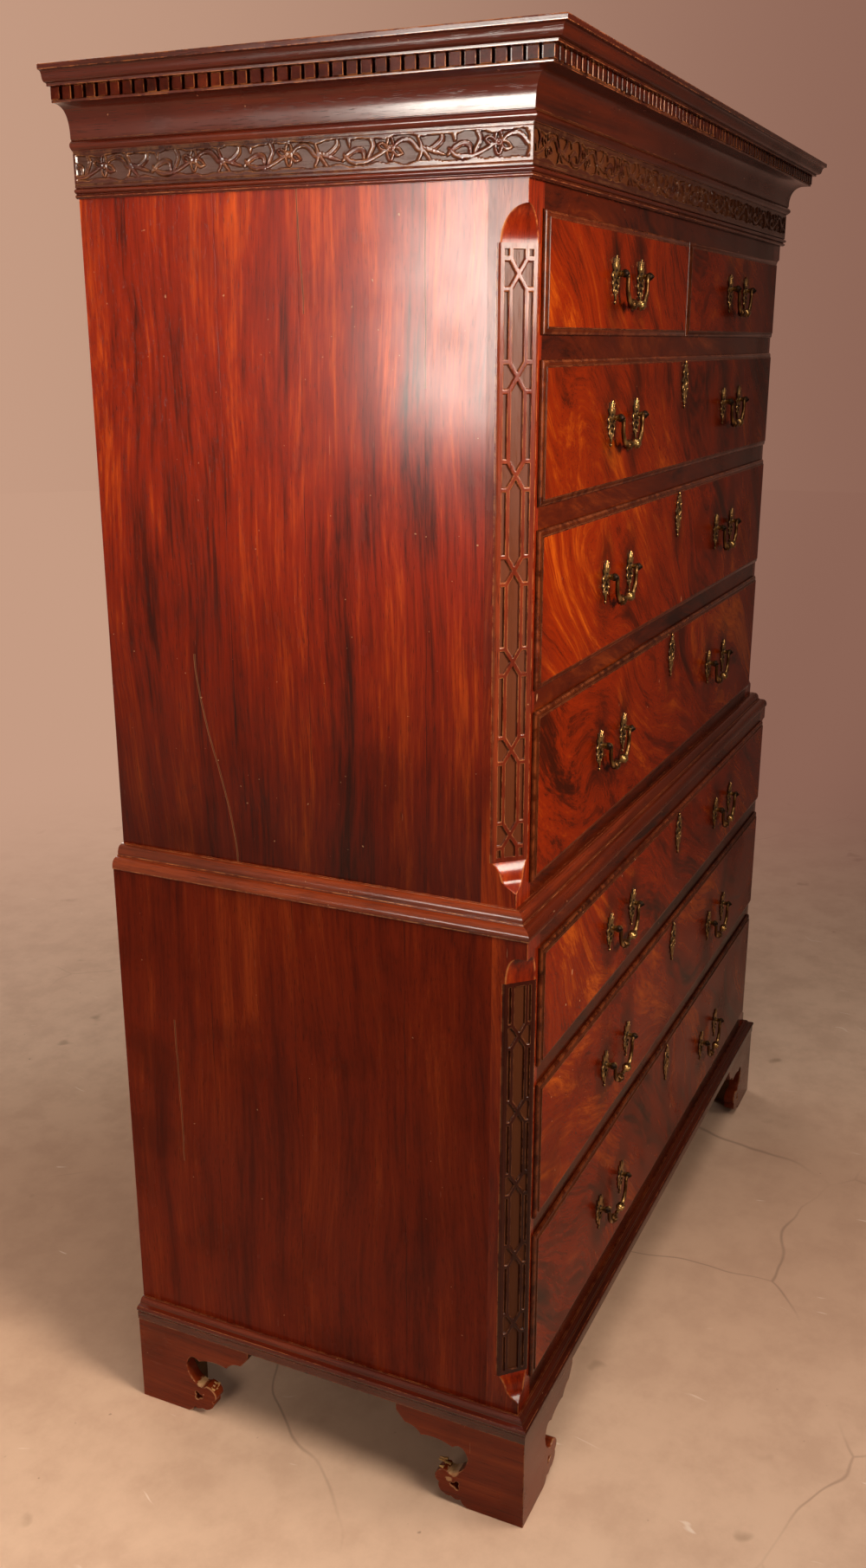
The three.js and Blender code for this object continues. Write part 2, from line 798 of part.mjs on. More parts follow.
level = upperCaseZ - lowerTopShow;
lowerRowHeights.forEach((height, row) => {
  const z0 = level - height;
  const half = lowerOpening + lipOverlap;
  longRow('lower', row + 1, z0, level, lowerFrontY, half, lowerHandleX, lowerHandleDrops[row]);
  if (row < lowerRowHeights.length - 1) {
    dustboard(`lower_dustboard_${row + 1}`, z0, lowerFrontY, lowerOpening, lowerInner);
  }
  level = z0 - railShow;
});

export default chest;
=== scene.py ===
# %% [markdown]
# # A mahogany chest on chest
# Two chests of drawers, one standing on the other, with a dentil cornice, a carved frieze, fretted corners
# and bracket feet. Its solids are packed already, and this script dresses them. Boards that have the right
# shape get their finish. The plain mouldings, carved bands, drawer fronts, feet and brasses are swapped for
# fuller ones. Shapes are worked out in millimetres, in the frame of the solids: +Z is up, the drawers face
# -Y, and the floor is at zero.

# %% Load the solids
import math
import random

import bmesh
import bpy
import numpy as np
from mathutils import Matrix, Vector
from mathutils.geometry import tessellate_polygon


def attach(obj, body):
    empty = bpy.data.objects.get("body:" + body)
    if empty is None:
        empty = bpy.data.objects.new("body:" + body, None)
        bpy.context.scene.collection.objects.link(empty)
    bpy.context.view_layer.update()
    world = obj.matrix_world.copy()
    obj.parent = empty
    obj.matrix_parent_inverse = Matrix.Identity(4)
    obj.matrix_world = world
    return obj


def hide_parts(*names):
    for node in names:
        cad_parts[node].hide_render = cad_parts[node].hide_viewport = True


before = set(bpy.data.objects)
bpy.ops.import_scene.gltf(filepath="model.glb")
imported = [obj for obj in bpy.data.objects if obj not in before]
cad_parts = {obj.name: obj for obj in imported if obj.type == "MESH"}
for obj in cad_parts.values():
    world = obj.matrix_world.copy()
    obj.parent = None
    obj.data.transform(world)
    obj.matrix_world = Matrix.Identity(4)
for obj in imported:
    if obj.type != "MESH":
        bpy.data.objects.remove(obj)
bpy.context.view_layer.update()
MM = 0.001
CARCASE = "carcase"

# %% [markdown]
# ## Levels and planes
# A maker marks the heights of every rail on one stick and works from it. These are the same marks as the
# solids have. `BACK`, `UPPER_FRONT` and `LOWER_FRONT` are planes across the depth.

# %% Levels and planes
BACK, UPPER_FRONT, LOWER_FRONT = 318.0, -258.0, -284.0
UPPER_HALF, LOWER_HALF = 615.0, 641.0
UPPER_CANT, LOWER_CANT = 31.0, 28.0
TOP_Z, CORNICE_Z, FRIEZE_Z, ASTRAGAL_Z = 1830.0, 1744.0, 1704.0, 1692.0
UPPER_CASE_Z, BASE_Z, FOOT_Z = 848.0, 150.0, 138.0
UPPER_ROWS = [(1351.0, 1511.0), (1138.0, 1325.0), (898.0, 1112.0)]
LOWER_ROWS = [(667.0, 827.0), (448.0, 641.0), (203.0, 422.0)]
SHORT_ROW = (1537.0, 1665.0)
UPPER_DRAWER_HALF, LOWER_DRAWER_HALF, SHORT_GAP = 574.0, 605.0, 3.0
LIP_PROUD, POST_LIFT, HANDLE_HALF = 7.0, 8.0, 51.0
print("rows", len(UPPER_ROWS) + len(LOWER_ROWS) + 1)

# %% [markdown]
# ## Camera
# The camera stands where the photograph was taken from: to the left of the chest and in front of it, just
# below the short drawers, looking down. Its place was fitted to about a hundred points picked on the
# photograph, so the render can be laid over it. The colours are shown as they are, with no film look.

# %% Camera
FRAME_HIGH, FOCAL, SENSOR = 1811.0, 1654.77, 36.0
camera_data = bpy.data.cameras.new("camera")
camera_data.sensor_width = SENSOR
camera_data.lens = SENSOR * FOCAL / FRAME_HIGH
camera_data.shift_x = -0.0015
camera_data.shift_y = 0.005
camera = bpy.data.objects.new("camera", camera_data)
bpy.context.collection.objects.link(camera)
camera.location = (-2.1126, -0.84297, 1.52927)
camera.rotation_euler = (math.radians(72.58), 0.0, math.radians(-65.20))
bpy.context.scene.camera = camera
bpy.context.scene.view_settings.view_transform = "Standard"
print("lens", round(camera_data.lens, 2))


# %% [markdown]
# ## Making meshes
# Blender can build a shape with its modelling tools or straight from a list of points and faces. Every
# moulding and plate here follows a drawn outline, so lists are the shorter way. `make_mesh` turns points in
# millimetres into a mesh. Two values can be kept on the points: one is 1 on a rubbed arris, which the finishes
# paint paler as wear and as painted highlight, and `hollow` is 1 down in a carved ground, which they paint
# darker with wax and with painted shade. `dress` hangs a mesh on a body of the chest.

# %% Making meshes
def make_mesh(name, points, faces, material, smooth=32.0, wear=None, hollow=None):
    mesh = bpy.data.meshes.new(name)
    mesh.from_pydata([tuple(c * MM for c in p) for p in points], [], faces)
    for label, values in (("wear", wear), ("hollow", hollow)):
        if values is not None:
            layer = mesh.attributes.new(label, "FLOAT", "POINT")
            layer.data.foreach_set("value", np.asarray(values, dtype=np.float32))
    work = bmesh.new()
    work.from_mesh(mesh)
    bmesh.ops.recalc_face_normals(work, faces=work.faces)
    work.to_mesh(mesh)
    work.free()
    for one in material if isinstance(material, list) else [material]:
        mesh.materials.append(one)
    mesh.polygons.foreach_set("use_smooth", [True] * len(mesh.polygons))
    mesh.set_sharp_from_angle(angle=math.radians(smooth))
    return mesh


def dress(name, mesh, body, replaced=(), place=(0.0, 0.0, 0.0)):
    thing = bpy.data.objects.new(name, mesh)
    thing.location = [c * MM for c in place]
    bpy.context.collection.objects.link(thing)
    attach(thing, body)
    if replaced:
        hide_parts(*replaced)
    return thing


def piece(name, points, faces, body, material, smooth=32.0, wear=None, hollow=None, replaced=()):
    mesh = make_mesh(name, points, faces, material, smooth, wear, hollow)
    return dress(name, mesh, body, replaced)


print("mesh helpers ready")


# %% [markdown]
# ## Curves and outlines
# A moulding plane cuts hollows and rounds with flats between them. `bend` draws one curve of three points,
# `chain` joins runs into one outline, and `loft` makes the faces between rings that follow each other.

# %% Curves and outlines
def bend(start, control, end, count=8):
    steps = [k / count for k in range(count + 1)]
    return [tuple((1 - t) ** 2 * a + 2 * t * (1 - t) * c + t * t * b for a, c, b in zip(start, control, end))
            for t in steps]


def chain(*runs):
    points = []
    for run in runs:
        for p in run:
            if not points or math.dist(points[-1], p) > 1e-4:
                points.append(tuple(p))
    return points


def signed_area(loop):
    return sum(a[0] * b[1] - b[0] * a[1] for a, b in zip(loop, loop[1:] + loop[:1]))


def loft(rings, count, first_cap=True):
    """Faces between `rings` rings of `count` points each, closed at the end and, if asked, at the start."""
    faces = []
    for a in range(0, (rings - 1) * count, count):
        b = a + count
        faces += [(a + i, a + (i + 1) % count, b + (i + 1) % count, b + i) for i in range(count)]
    if first_cap:
        faces.append(tuple(range(count)))
    faces.append(tuple(range((rings - 1) * count, rings * count)))
    return faces


print("curve helpers ready")


# %% [markdown]
# ## Rounded arrises
# No arris on an old chest is sharp. A bevel modifier would round every edge alike and know nothing of wear,
# so `soften` rounds the corners of the outline itself. A rounded outer corner is marked as worn, to be painted
# paler as wear and as painted highlight, and an inner one as a hollow, to be painted darker for the wax and
# dirt that gather there and as painted shade; plain points beside each keep both narrow. `prism` carries the
# outline from station to station.

# %% Rounded arrises
NEARLY_STRAIGHT = math.radians(152)


def soften(outline, radius=0.7, spread=1.0):
    points, wear, hollow = [], [], []
    area = signed_area(outline)
    for i, here in enumerate(outline):
        here = Vector(here)
        to_before = Vector(outline[i - 1]) - here
        to_after = Vector(outline[(i + 1) % len(outline)]) - here
        if to_before.angle(to_after) > NEARLY_STRAIGHT:
            points.append(tuple(here))
            wear.append(0.0)
            hollow.append(0.0)
            continue
        cut = min(radius, 0.3 * to_before.length, 0.3 * to_after.length)
        wide = min(cut + spread, 0.45 * to_before.length, 0.45 * to_after.length)
        p, q = here + to_before.normalized() * cut, here + to_after.normalized() * cut
        far_p, far_q = here + to_before.normalized() * wide, here + to_after.normalized() * wide
        outer = (to_after.x * to_before.y - to_after.y * to_before.x) * area > 0
        middle = (p + q) / 4 + here / 2
        for point, value in ((far_p, 0.0), (p, 0.8), (middle, 1.0), (q, 0.8), (far_q, 0.0)):
            points.append(tuple(point))
            wear.append(value if outer else 0.0)
            hollow.append(0.0 if outer else value)
    return points, wear, hollow


def prism(name, outline, stations, material, replaced, radius=0.7):
    """An outline carried through stations, each a function from a point of the outline to a place."""
    flat, wear, hollow = soften(outline, radius)
    points = [station(u, v) for station in stations for u, v in flat]
    repeat = len(stations)
    return piece(name, points, loft(repeat, len(flat)), CARCASE, material, 32.0, wear * repeat,
                 hollow * repeat, replaced)


print("outline helpers ready")


# %% [markdown]
# ## Node helper
# A finish is a graph of shader nodes. Drawn in the editor, such a graph soon fills the screen, so `Graph`
# builds it from short lines: each call adds one node and gives back its output, ready for the next call.

# %% Node helper
class Graph:
    def __init__(self, tree):
        self.tree = tree

    def add(self, kind, values=None, **settings):
        node = self.tree.nodes.new("ShaderNode" + kind)
        for key, value in settings.items():
            setattr(node, key, value)
        for key, value in (values or {}).items():
            if isinstance(value, bpy.types.NodeSocket):
                self.join(value, node.inputs[key])
            else:
                node.inputs[key].default_value = value
        return node

    def join(self, output, socket):
        self.tree.links.new(output, socket)

    def give(self, node, values):
        for key, value in values.items():
            self.join(value, node.inputs[key])

    def math(self, operation, a, b=0.0, clamp=False):
        return self.add("Math", {0: a, 1: b}, operation=operation, use_clamp=clamp).outputs[0]

    def plus(self, a, b, clamp=False):
        return self.math("ADD", a, b, clamp)

    def minus(self, a, b):
        return self.math("SUBTRACT", a, b)

    def times(self, a, b, clamp=False):
        return self.math("MULTIPLY", a, b, clamp)

    def most(self, a, b):
        return self.math("MAXIMUM", a, b)

    def least(self, a, b):
        return self.math("MINIMUM", a, b)

    def apart(self, a, b):
        return self.math("ABSOLUTE", self.minus(a, b))

    def weighed(self, values, shares):
        total = self.times(values[0], shares[0])
        for value, share in zip(values[1:], shares[1:]):
            total = self.plus(total, self.times(value, share))
        return total

    def scaled(self, vector, scale):
        return self.add("VectorMath", {0: vector, 1: scale}, operation="MULTIPLY").outputs[0]

    def moved(self, vector, shift):
        return self.add("VectorMath", {0: vector, 1: shift}, operation="ADD").outputs[0]

    def reach(self, vector):
        return self.add("VectorMath", {0: vector}, operation="LENGTH").outputs["Value"]

    def axes(self, vector):
        return self.add("SeparateXYZ", {0: vector}).outputs

    def noise(self, vector, scale=1.0, detail=3.0, roughness=0.5, output="Fac"):
        values = {"Vector": vector, "Scale": scale, "Detail": detail, "Roughness": roughness}
        return self.add("TexNoise", values).outputs[output]

    def mix(self, factor, a, b):
        return self.add("Mix", {0: factor, 6: a, 7: b}, data_type="RGBA").outputs[2]

    def ease(self, value, low, high, to_low=0.0, to_high=1.0):
        values = {0: value, 1: low, 2: high, 3: to_low, 4: to_high}
        return self.add("MapRange", values, interpolation_type="SMOOTHSTEP").outputs[0]

    def attribute(self, name):
        return self.add("Attribute", attribute_name=name).outputs["Fac"]


print("graph helper ready")


# %% [markdown]
# ## Groups, materials and tints
# An effect that several finishes share is a node group: built once, and placed in each material with its
# own values. `tint` turns a colour as a painter's chart writes it into the linear numbers that light needs.

# %% Groups, materials and tints
def new_group(name, inputs, outputs):
    tree = bpy.data.node_groups.new(name, "ShaderNodeTree")
    for sockets, way in ((inputs, "INPUT"), (outputs, "OUTPUT")):
        for label, kind in sockets.items():
            tree.interface.new_socket(label, in_out=way, socket_type="NodeSocket" + kind)
    start = tree.nodes.new("NodeGroupInput")
    end = tree.nodes.new("NodeGroupOutput")
    return Graph(tree), start.outputs, end


def new_material(name):
    material = bpy.data.materials.new(name)
    material.use_nodes = True
    return material, Graph(material.node_tree), material.node_tree.nodes["Principled BSDF"]


def tint(hexa):
    values = [int(hexa[i:i + 2], 16) / 255 for i in (0, 2, 4)]
    return tuple(v / 12.92 if v <= 0.04045 else ((v + 0.055) / 1.055) ** 2.4 for v in values) + (1.0,)


print("node helpers ready")

# %% [markdown]
# ## Straight mahogany
# The mouldings are cut from straight stuff. The grain runs along the third coordinate: broad dark and light
# bands wander slowly, finer streaks ride on them, and short dark pores lie along the grain. Noise that is
# stretched along the grain gives all of them, without a picture of wood.

# %% Straight mahogany
FIGURE_INPUTS = {"Vector": "Vector", "Dark": "Color", "Middle": "Color", "Light": "Color"}
FIGURE_OUTPUTS = {"Color": "Color", "Roughness": "Float", "Height": "Float"}

graph, start, end = new_group("straight grain", FIGURE_INPUTS, FIGURE_OUTPUTS)
at = start["Vector"]
wander = graph.noise(graph.scaled(at, (2.4, 2.4, 0.8)), detail=2, output="Color")
sway = graph.scaled(graph.moved(wander, (-0.5, -0.5, -0.5)), (0.05, 0.05, 0.0))
along = graph.moved(at, sway)
broad = graph.noise(graph.scaled(along, (7.5, 7.5, 0.5)), detail=4, roughness=0.55)
streak = graph.noise(graph.scaled(along, (44.0, 44.0, 1.3)), detail=5, roughness=0.62)
fine = graph.noise(graph.scaled(along, (300.0, 300.0, 6.0)), detail=3, roughness=0.6)
pore = graph.noise(graph.scaled(along, (1150.0, 1150.0, 30.0)), detail=1)
shimmer = graph.noise(graph.scaled(at, (26.0, 26.0, 9.0)), detail=2)
tone = graph.weighed((broad, streak, fine, shimmer), (0.46, 0.36, 0.10, 0.08))
colour = graph.mix(graph.ease(tone, 0.36, 0.52), start["Dark"], start["Middle"])
colour = graph.mix(graph.ease(tone, 0.50, 0.66), colour, start["Light"])
pores = graph.ease(pore, 0.60, 0.70)
graph.give(end, {
    "Color": graph.mix(graph.times(pores, 0.55), colour, tint("1c0805")),
    "Roughness": graph.ease(streak, 0.2, 0.8, 0.17, 0.27),
    "Height": graph.minus(graph.times(fine, 0.35), graph.times(pores, 0.6)),
})
straight_grain = graph.tree
print("straight grain", len(straight_grain.nodes), "nodes")


# %% [markdown]
# ## Flame and board figure
# The drawer fronts are veneered with flame mahogany, cut where a branch leaves the trunk, so its grain is
# swept about like fire. The side boards are plainer, but their grain sways too. Both are the same recipe
# with different numbers: two slow swirls sweep the place that the noise is read from, and four sizes of
# noise are weighed into one tone.

# %% Flame and board figure
def swept_figure(name, sway, curl, feathers, patches, shares, easing):
    """`sway` and `curl` are the scale, detail and reach of a swirl; the next two say how fine the figure is."""
    graph, start, end = new_group(name, FIGURE_INPUTS, FIGURE_OUTPUTS)
    at = start["Vector"]

    def swept(place, scale, detail, reach):
        swirl = graph.noise(graph.scaled(at, scale), detail=detail, output="Color")
        return graph.moved(place, graph.scaled(graph.moved(swirl, (-0.5, -0.5, -0.5)), reach))

    broad = swept(at, *sway)
    along = swept(broad, *curl)
    feather = graph.noise(graph.scaled(along, feathers), detail=5, roughness=0.6)
    patch = graph.noise(graph.scaled(broad, patches), detail=3)
    ray = graph.noise(graph.scaled(along, (75.0, 75.0, 7.0)), detail=4, roughness=0.65)
    fine = graph.noise(graph.scaled(along, (210.0, 210.0, 10.0)), detail=3, roughness=0.6)
    pore = graph.noise(graph.scaled(along, (900.0, 900.0, 60.0)), detail=1)
    tone = graph.weighed((patch, feather, ray, fine), shares)
    colour = graph.mix(graph.ease(tone, *easing[:2]), start["Dark"], start["Middle"])
    colour = graph.mix(graph.ease(tone, *easing[2:]), colour, start["Light"])
    pores = graph.ease(pore, 0.60, 0.72)
    graph.give(end, {
        "Color": graph.mix(graph.times(pores, 0.45), colour, tint("230b05")),
        "Roughness": graph.ease(feather, 0.2, 0.8, 0.18, 0.27),
        "Height": graph.minus(graph.times(fine, 0.2), graph.times(pores, 0.4)),
    })
    print(name, len(graph.tree.nodes), "nodes")
    return graph.tree


flame_figure = swept_figure(
    "flame figure", ((4.4, 4.4, 2.6), 1, (0.25, 0.25, 0.30)), ((16.0, 16.0, 8.0), 2, (0.026, 0.026, 0.06)),
    (28.0, 28.0, 1.6), (6.5, 6.5, 1.8), (0.38, 0.28, 0.20, 0.14), (0.385, 0.52, 0.51, 0.67))
board_figure = swept_figure(
    "board figure", ((2.4, 2.4, 1.2), 2, (0.10, 0.10, 0.15)), ((13.0, 13.0, 4.0), 2, (0.010, 0.010, 0.05)),
    (26.0, 26.0, 0.8), (13.0, 13.0, 2.0), (0.30, 0.30, 0.18, 0.22), (0.38, 0.52, 0.50, 0.66))

# %% [markdown]
# ## Age
# Two centuries of use on any wood: rubbed arrises go pale and warm, which also stands as painted highlight,
# hollows go dark with wax and with painted shade, the polish is uneven, and there are a few scratches and pale
# nicks. It is laid over the figure as a second group, so one recipe ages every finish. It gives out how much
# polish is left, for the coat of each material.

# %% Age
graph, start, end = new_group(
    "age",
    {"Vector": "Vector", "Color": "Color", "Roughness": "Float", "Height": "Float", "Rubbed": "Color"},
    {**FIGURE_OUTPUTS, "Polish": "Float"})
at = start["Vector"]
wear = graph.attribute("wear")
hollow = graph.attribute("hollow")
cloud = graph.noise(at, 9.0, detail=4)
broken = graph.noise(at, 60.0, detail=4, roughness=0.7)
# rubbed arrises are painted paler: wear, and painted highlight
rubbed = graph.times(wear, graph.ease(broken, 0.40, 0.60))
colour = graph.mix(graph.times(graph.ease(cloud, 0.50, 0.75), 0.35), start["Color"], tint("2a0c07"))
colour = graph.mix(graph.times(rubbed, 0.75), colour, start["Rubbed"])
# hollows are painted darker: wax and dirt, and painted shade
colour = graph.mix(graph.times(hollow, 0.78), colour, tint("46220f"))
scratch = graph.noise(graph.scaled(at, (30.0, 420.0, 14.0)), detail=2, roughness=0.7)
nick = graph.noise(at, 170.0, detail=1)
scratched = graph.times(graph.ease(scratch, 0.765, 0.785), 0.35)
pale = graph.most(scratched, graph.times(graph.ease(nick, 0.80, 0.83), 0.55))
rough = graph.plus(start["Roughness"], graph.ease(cloud, 0.3, 0.8, -0.03, 0.07))
rough = graph.plus(rough, graph.times(hollow, 0.12))
polish = graph.minus(1.0, graph.times(hollow, 0.95))
dents = graph.noise(at, 38.0, detail=3)
tall = graph.plus(start["Height"], graph.times(dents, 0.5))
graph.give(end, {
    "Color": graph.mix(pale, colour, tint("b98a63")),
    "Roughness": graph.plus(rough, graph.times(pale, 0.3), clamp=True),
    "Polish": graph.times(polish, graph.ease(cloud, 0.35, 0.75, 1.0, 0.55), clamp=True),
    "Height": graph.minus(tall, graph.times(pale, 0.8)),
})
age = graph.tree
print("age", len(age.nodes), "nodes")


# %% [markdown]
# ## One wood finish
# `wood` makes one finish: which way its grain runs, its three tones, how much polish is left and how it
# shines. The grain groups run along their third coordinate, so the place is turned to bring the board's
# length there, and `lean` tips it as a veneer is laid askew. `marks` can add joints, splits or stains
# before the age group is laid over it. Values that are the same all over sit on the shader's own sockets.

# %% One wood finish
ORDER = {"x": ("Y", "Z", "X"), "y": ("X", "Z", "Y"), "z": ("X", "Y", "Z")}


def wood(name, grain, tones, figure=straight_grain, rubbed="9a5a30", coat=0.4, coat_roughness=0.12,
         specular=0.3, bump=0.25, shift=(0, 0, 0), lean=0.0, marks=None):
    material, nodes, shader = new_material(name)
    place = nodes.add("TexCoord").outputs["Object"]
    laid = nodes.moved(place, shift)
    if lean:
        tipped = {"Vector": laid, "Angle": math.radians(lean)}
        laid = nodes.add("VectorRotate", tipped, rotation_type="Y_AXIS").outputs[0]
    parts = nodes.axes(laid)
    turned = nodes.add("CombineXYZ", {i: parts[letter] for i, letter in enumerate(ORDER[grain])}).outputs[0]
    group = nodes.add("Group", node_tree=figure)
    nodes.give(group, {"Vector": turned})
    for label, colour in zip(("Dark", "Middle", "Light"), tones):
        group.inputs[label].default_value = tint(colour)
    colour, rough, height = group.outputs["Color"], group.outputs["Roughness"], group.outputs["Height"]
    if marks:
        colour, height = marks(nodes, place, colour, height)
    aged = nodes.add("Group", node_tree=age)
    nodes.give(aged, {"Vector": place, "Color": colour, "Roughness": rough, "Height": height})
    aged.inputs["Rubbed"].default_value = tint(rubbed)
    relief = nodes.add("Bump", {"Strength": bump, "Distance": 0.0006, "Height": aged.outputs["Height"]})
    nodes.give(shader, {"Base Color": aged.outputs["Color"], "Roughness": aged.outputs["Roughness"],
                        "Normal": relief.outputs[0]})
    if coat:
        nodes.give(shader, {"Coat Weight": nodes.times(aged.outputs["Polish"], coat)})
    shader.inputs["Coat Roughness"].default_value = coat_roughness
    shader.inputs["Specular IOR Level"].default_value = specular
    return material


print("wood helper ready")


# %% [markdown]
# ## Joints, splits and painted shade
# A side is glued up from several boards. The joints open a little with the years, splits follow the grain,
# and the low part of a side is darkened with painted shade. Thin lines like these are drawn by distance: how
# far a place is from the joint decides how dark it is.

# %% Joints, splits and painted shade
def board_marks(joints, splits, across="Y", wide=1.0, shade=0.0, painted_shade_band=None):
    """Joints at these places `across`, splits from point to point, `shade` from board to board, and last the
    painted shade that darkens the boards towards the bottom: the two levels it fades between, and its strength."""
    def marks(nodes, place, colour, height):
        axes = nodes.axes(place)
        waver = nodes.noise(nodes.scaled(place, (1.0, 1.0, 6.0)), 3.0, detail=3)
        y = nodes.plus(axes[across], nodes.times(nodes.minus(waver, 0.5), 0.004))
        broken = nodes.noise(nodes.scaled(place, (1.0, 1.0, 5.0)), 2.2, detail=2)
        broken = nodes.ease(broken, 0.42, 0.58, 0.12, 0.75)
        lines, number = 0.0, 0.0
        for joint in joints:
            gap = nodes.apart(y, joint * MM)
            line = nodes.times(nodes.ease(gap, 0.0003 * wide, 0.0009 * wide, 1.0, 0.0), broken)
            lines = nodes.most(lines, line)
        if shade:
            for joint in joints:
                number = nodes.plus(number, nodes.math("GREATER_THAN", y, joint * MM))
            lot = nodes.math("FRACT", nodes.times(number, 0.618))
            colour = nodes.mix(nodes.times(lot, shade), colour, tint("22140a"))
        # painted shade: the boards darken towards the bottom
        if painted_shade_band:
            painted_shade_mask = nodes.ease(axes["Z"], painted_shade_band[0] * MM, painted_shade_band[1] * MM, painted_shade_band[2], 0.0)
            colour = nodes.mix(painted_shade_mask, colour, tint("1c0502"))
        for (y0, z0), (y1, z1) in splits:
            share = nodes.ease(axes["Z"], z0 * MM, z1 * MM)
            middle = nodes.plus(nodes.times(share, (y1 - y0) * MM), y0 * MM)
            gap = nodes.apart(y, middle)
            inside = nodes.times(nodes.math("GREATER_THAN", axes["Z"], min(z0, z1) * MM),
                                 nodes.math("LESS_THAN", axes["Z"], max(z0, z1) * MM))
            pale = nodes.times(nodes.ease(gap, 0.0006, 0.0018, 1.0, 0.0), inside)
            colour = nodes.mix(nodes.times(pale, 0.4), colour, tint("b5744a"))
            lines = nodes.most(lines, nodes.times(nodes.ease(gap, 0.0003, 0.0008, 1.0, 0.0), inside))
        colour = nodes.mix(nodes.times(lines, 0.8), colour, tint("140604"))
        return colour, nodes.minus(height, nodes.times(lines, 2.5))
    return marks


print("joints and splits ready")


# %% [markdown]
# ## Dovetails
# A drawer's sides and ends hold each other with dovetails. They are flush, so they need no mesh: the end
# grain of the pins shows darker at both ends of a side, with a scribed line where the maker set the depth.

# %% Dovetails
DOVETAIL_PITCH, DOVETAIL_DEEP = 0.032, 0.012


def dovetail_marks(low, high):
    """For a drawer box between the corners `low` and `high`, in metres."""
    count = max(2, round((high[2] - low[2]) / DOVETAIL_PITCH))
    pitch = (high[2] - low[2]) / count

    def marks(nodes, place, colour, height):
        axes = nodes.axes(place)
        side = nodes.least(nodes.minus(axes["X"], low[0]), nodes.minus(high[0], axes["X"]))
        end = nodes.least(nodes.minus(axes["Y"], low[1]), nodes.minus(high[1], axes["Y"]))
        row = nodes.math("PINGPONG", nodes.math("DIVIDE", nodes.minus(axes["Z"], low[2]), pitch), 0.5)
        flank = nodes.plus(nodes.times(end, 9.0), 0.07)
        outside = nodes.math("LESS_THAN", side, 0.002)
        inside = nodes.times(outside, nodes.math("LESS_THAN", end, DOVETAIL_DEEP))
        pin = nodes.times(nodes.ease(nodes.minus(row, flank), -0.012, 0.004, 1.0, 0.0), inside)
        edge = nodes.times(nodes.ease(nodes.apart(row, flank), 0.006, 0.02, 1.0, 0.0), inside)
        scribe = nodes.ease(nodes.apart(end, DOVETAIL_DEEP + 0.0005), 0.0002, 0.0006, 1.0, 0.0)
        lines = nodes.most(edge, nodes.times(nodes.times(scribe, outside), 0.5))
        colour = nodes.mix(nodes.times(pin, 0.75), colour, tint("4e2a14"))
        colour = nodes.mix(nodes.times(lines, 0.8), colour, tint("1c0f08"))
        return colour, nodes.minus(height, lines)
    return marks


print("dovetails ready")


# %% [markdown]
# ## Broken scrolls and stains
# Pale wood shows where the edge of a foot's scroll has broken away, and old polish and dirt darken the wood
# round each brass. Both are soft spots round a few places, broken up by noise.

# %% Broken scrolls and stains
def spot_reach(nodes, place, centre, scale):
    shift = tuple(-c * MM for c in centre)
    return nodes.reach(nodes.scaled(nodes.moved(place, shift), scale))


def chip_marks(centres):
    """Each centre is a place along the side, a level and how wide the break is."""
    def marks(nodes, place, colour, height):
        ragged = nodes.noise(place, 170.0, detail=4, roughness=0.7)
        mask = 0.0
        for y, z, wide in centres:
            gap = nodes.plus(spot_reach(nodes, place, (0.0, y, z), (0.0, 1.0, 1.3)), nodes.times(ragged, 0.010))
            mask = nodes.most(mask, nodes.ease(gap, (wide + 3.4) * MM, (wide + 6.0) * MM, 1.0, 0.0))
        raw = nodes.mix(ragged, tint("7a4c28"), tint("d2a878"))
        colour = nodes.mix(nodes.times(mask, 0.9), colour, raw)
        return colour, nodes.minus(height, nodes.times(mask, nodes.times(ragged, 3.0)))
    return marks


def stain_marks(centres):
    """Each centre is a place across the front, a level and how wide the stain is."""
    def marks(nodes, place, colour, height):
        cloud = nodes.noise(place, 45.0, detail=4)
        mask = 0.0
        for x, z, wide in centres:
            gap = spot_reach(nodes, place, (x, 0.0, z), (1.0, 0.0, 0.55))
            mask = nodes.most(mask, nodes.ease(gap, 0.3 * wide * MM, 1.45 * wide * MM, 1.0, 0.0))
        mask = nodes.times(mask, nodes.ease(cloud, 0.25, 0.65, 0.45, 1.0))
        return nodes.mix(nodes.times(mask, 0.8), colour, tint("1a0703")), height
    return marks


print("spots ready")

# %% [markdown]
# ## Finishes of the case
# The upper side is the bright, figured face of the chest; the lower one is duller and darker. Each finish
# is three tones of wood, from the dark streaks to the light ones. A clear coat over the wood gives the deep
# gloss of old polish: thick where the photograph shines, thin on the fronts, which are seen at a slant.

# %% Finishes of the case
# The upper sides also darken towards the bottom with painted shade.
side_finish = wood(
    "side boards", "z", ("380801", "841c02", "c84c0a"), board_figure, coat=0.46, coat_roughness=0.15, bump=0.45,
    specular=0.08,
    marks=board_marks((130, 20, -139), [((187, 1151), (135, 876)), ((20, 1692), (14, 1560)),
                                        ((-139, 1692), (-139, 1480))], painted_shade_band=(840, 1400, 0.74)))
lower_side_finish = wood(
    "lower side boards", "z", ("470f05", "641a07", "84300f"), board_figure, coat=0.16, bump=0.3, specular=0.06,
    shift=(0.4, 0.9, 0.3), marks=board_marks((170, 40, -120), [((232, 640), (229, 420))]))
upright = wood("upright mahogany", "z", ("2c0803", "621705", "94360d"), board_figure, coat=0.32,
               coat_roughness=0.15, bump=0.45, specular=0.08, shift=(0.0, 0.0, 1.4))
rail_finish = wood("rails", "x", ("130301", "390d02", "622306"), flame_figure, coat=0.08, specular=0.08,
                   bump=0.2, shift=(0.0, 0.0, 2.1), lean=-12.0)
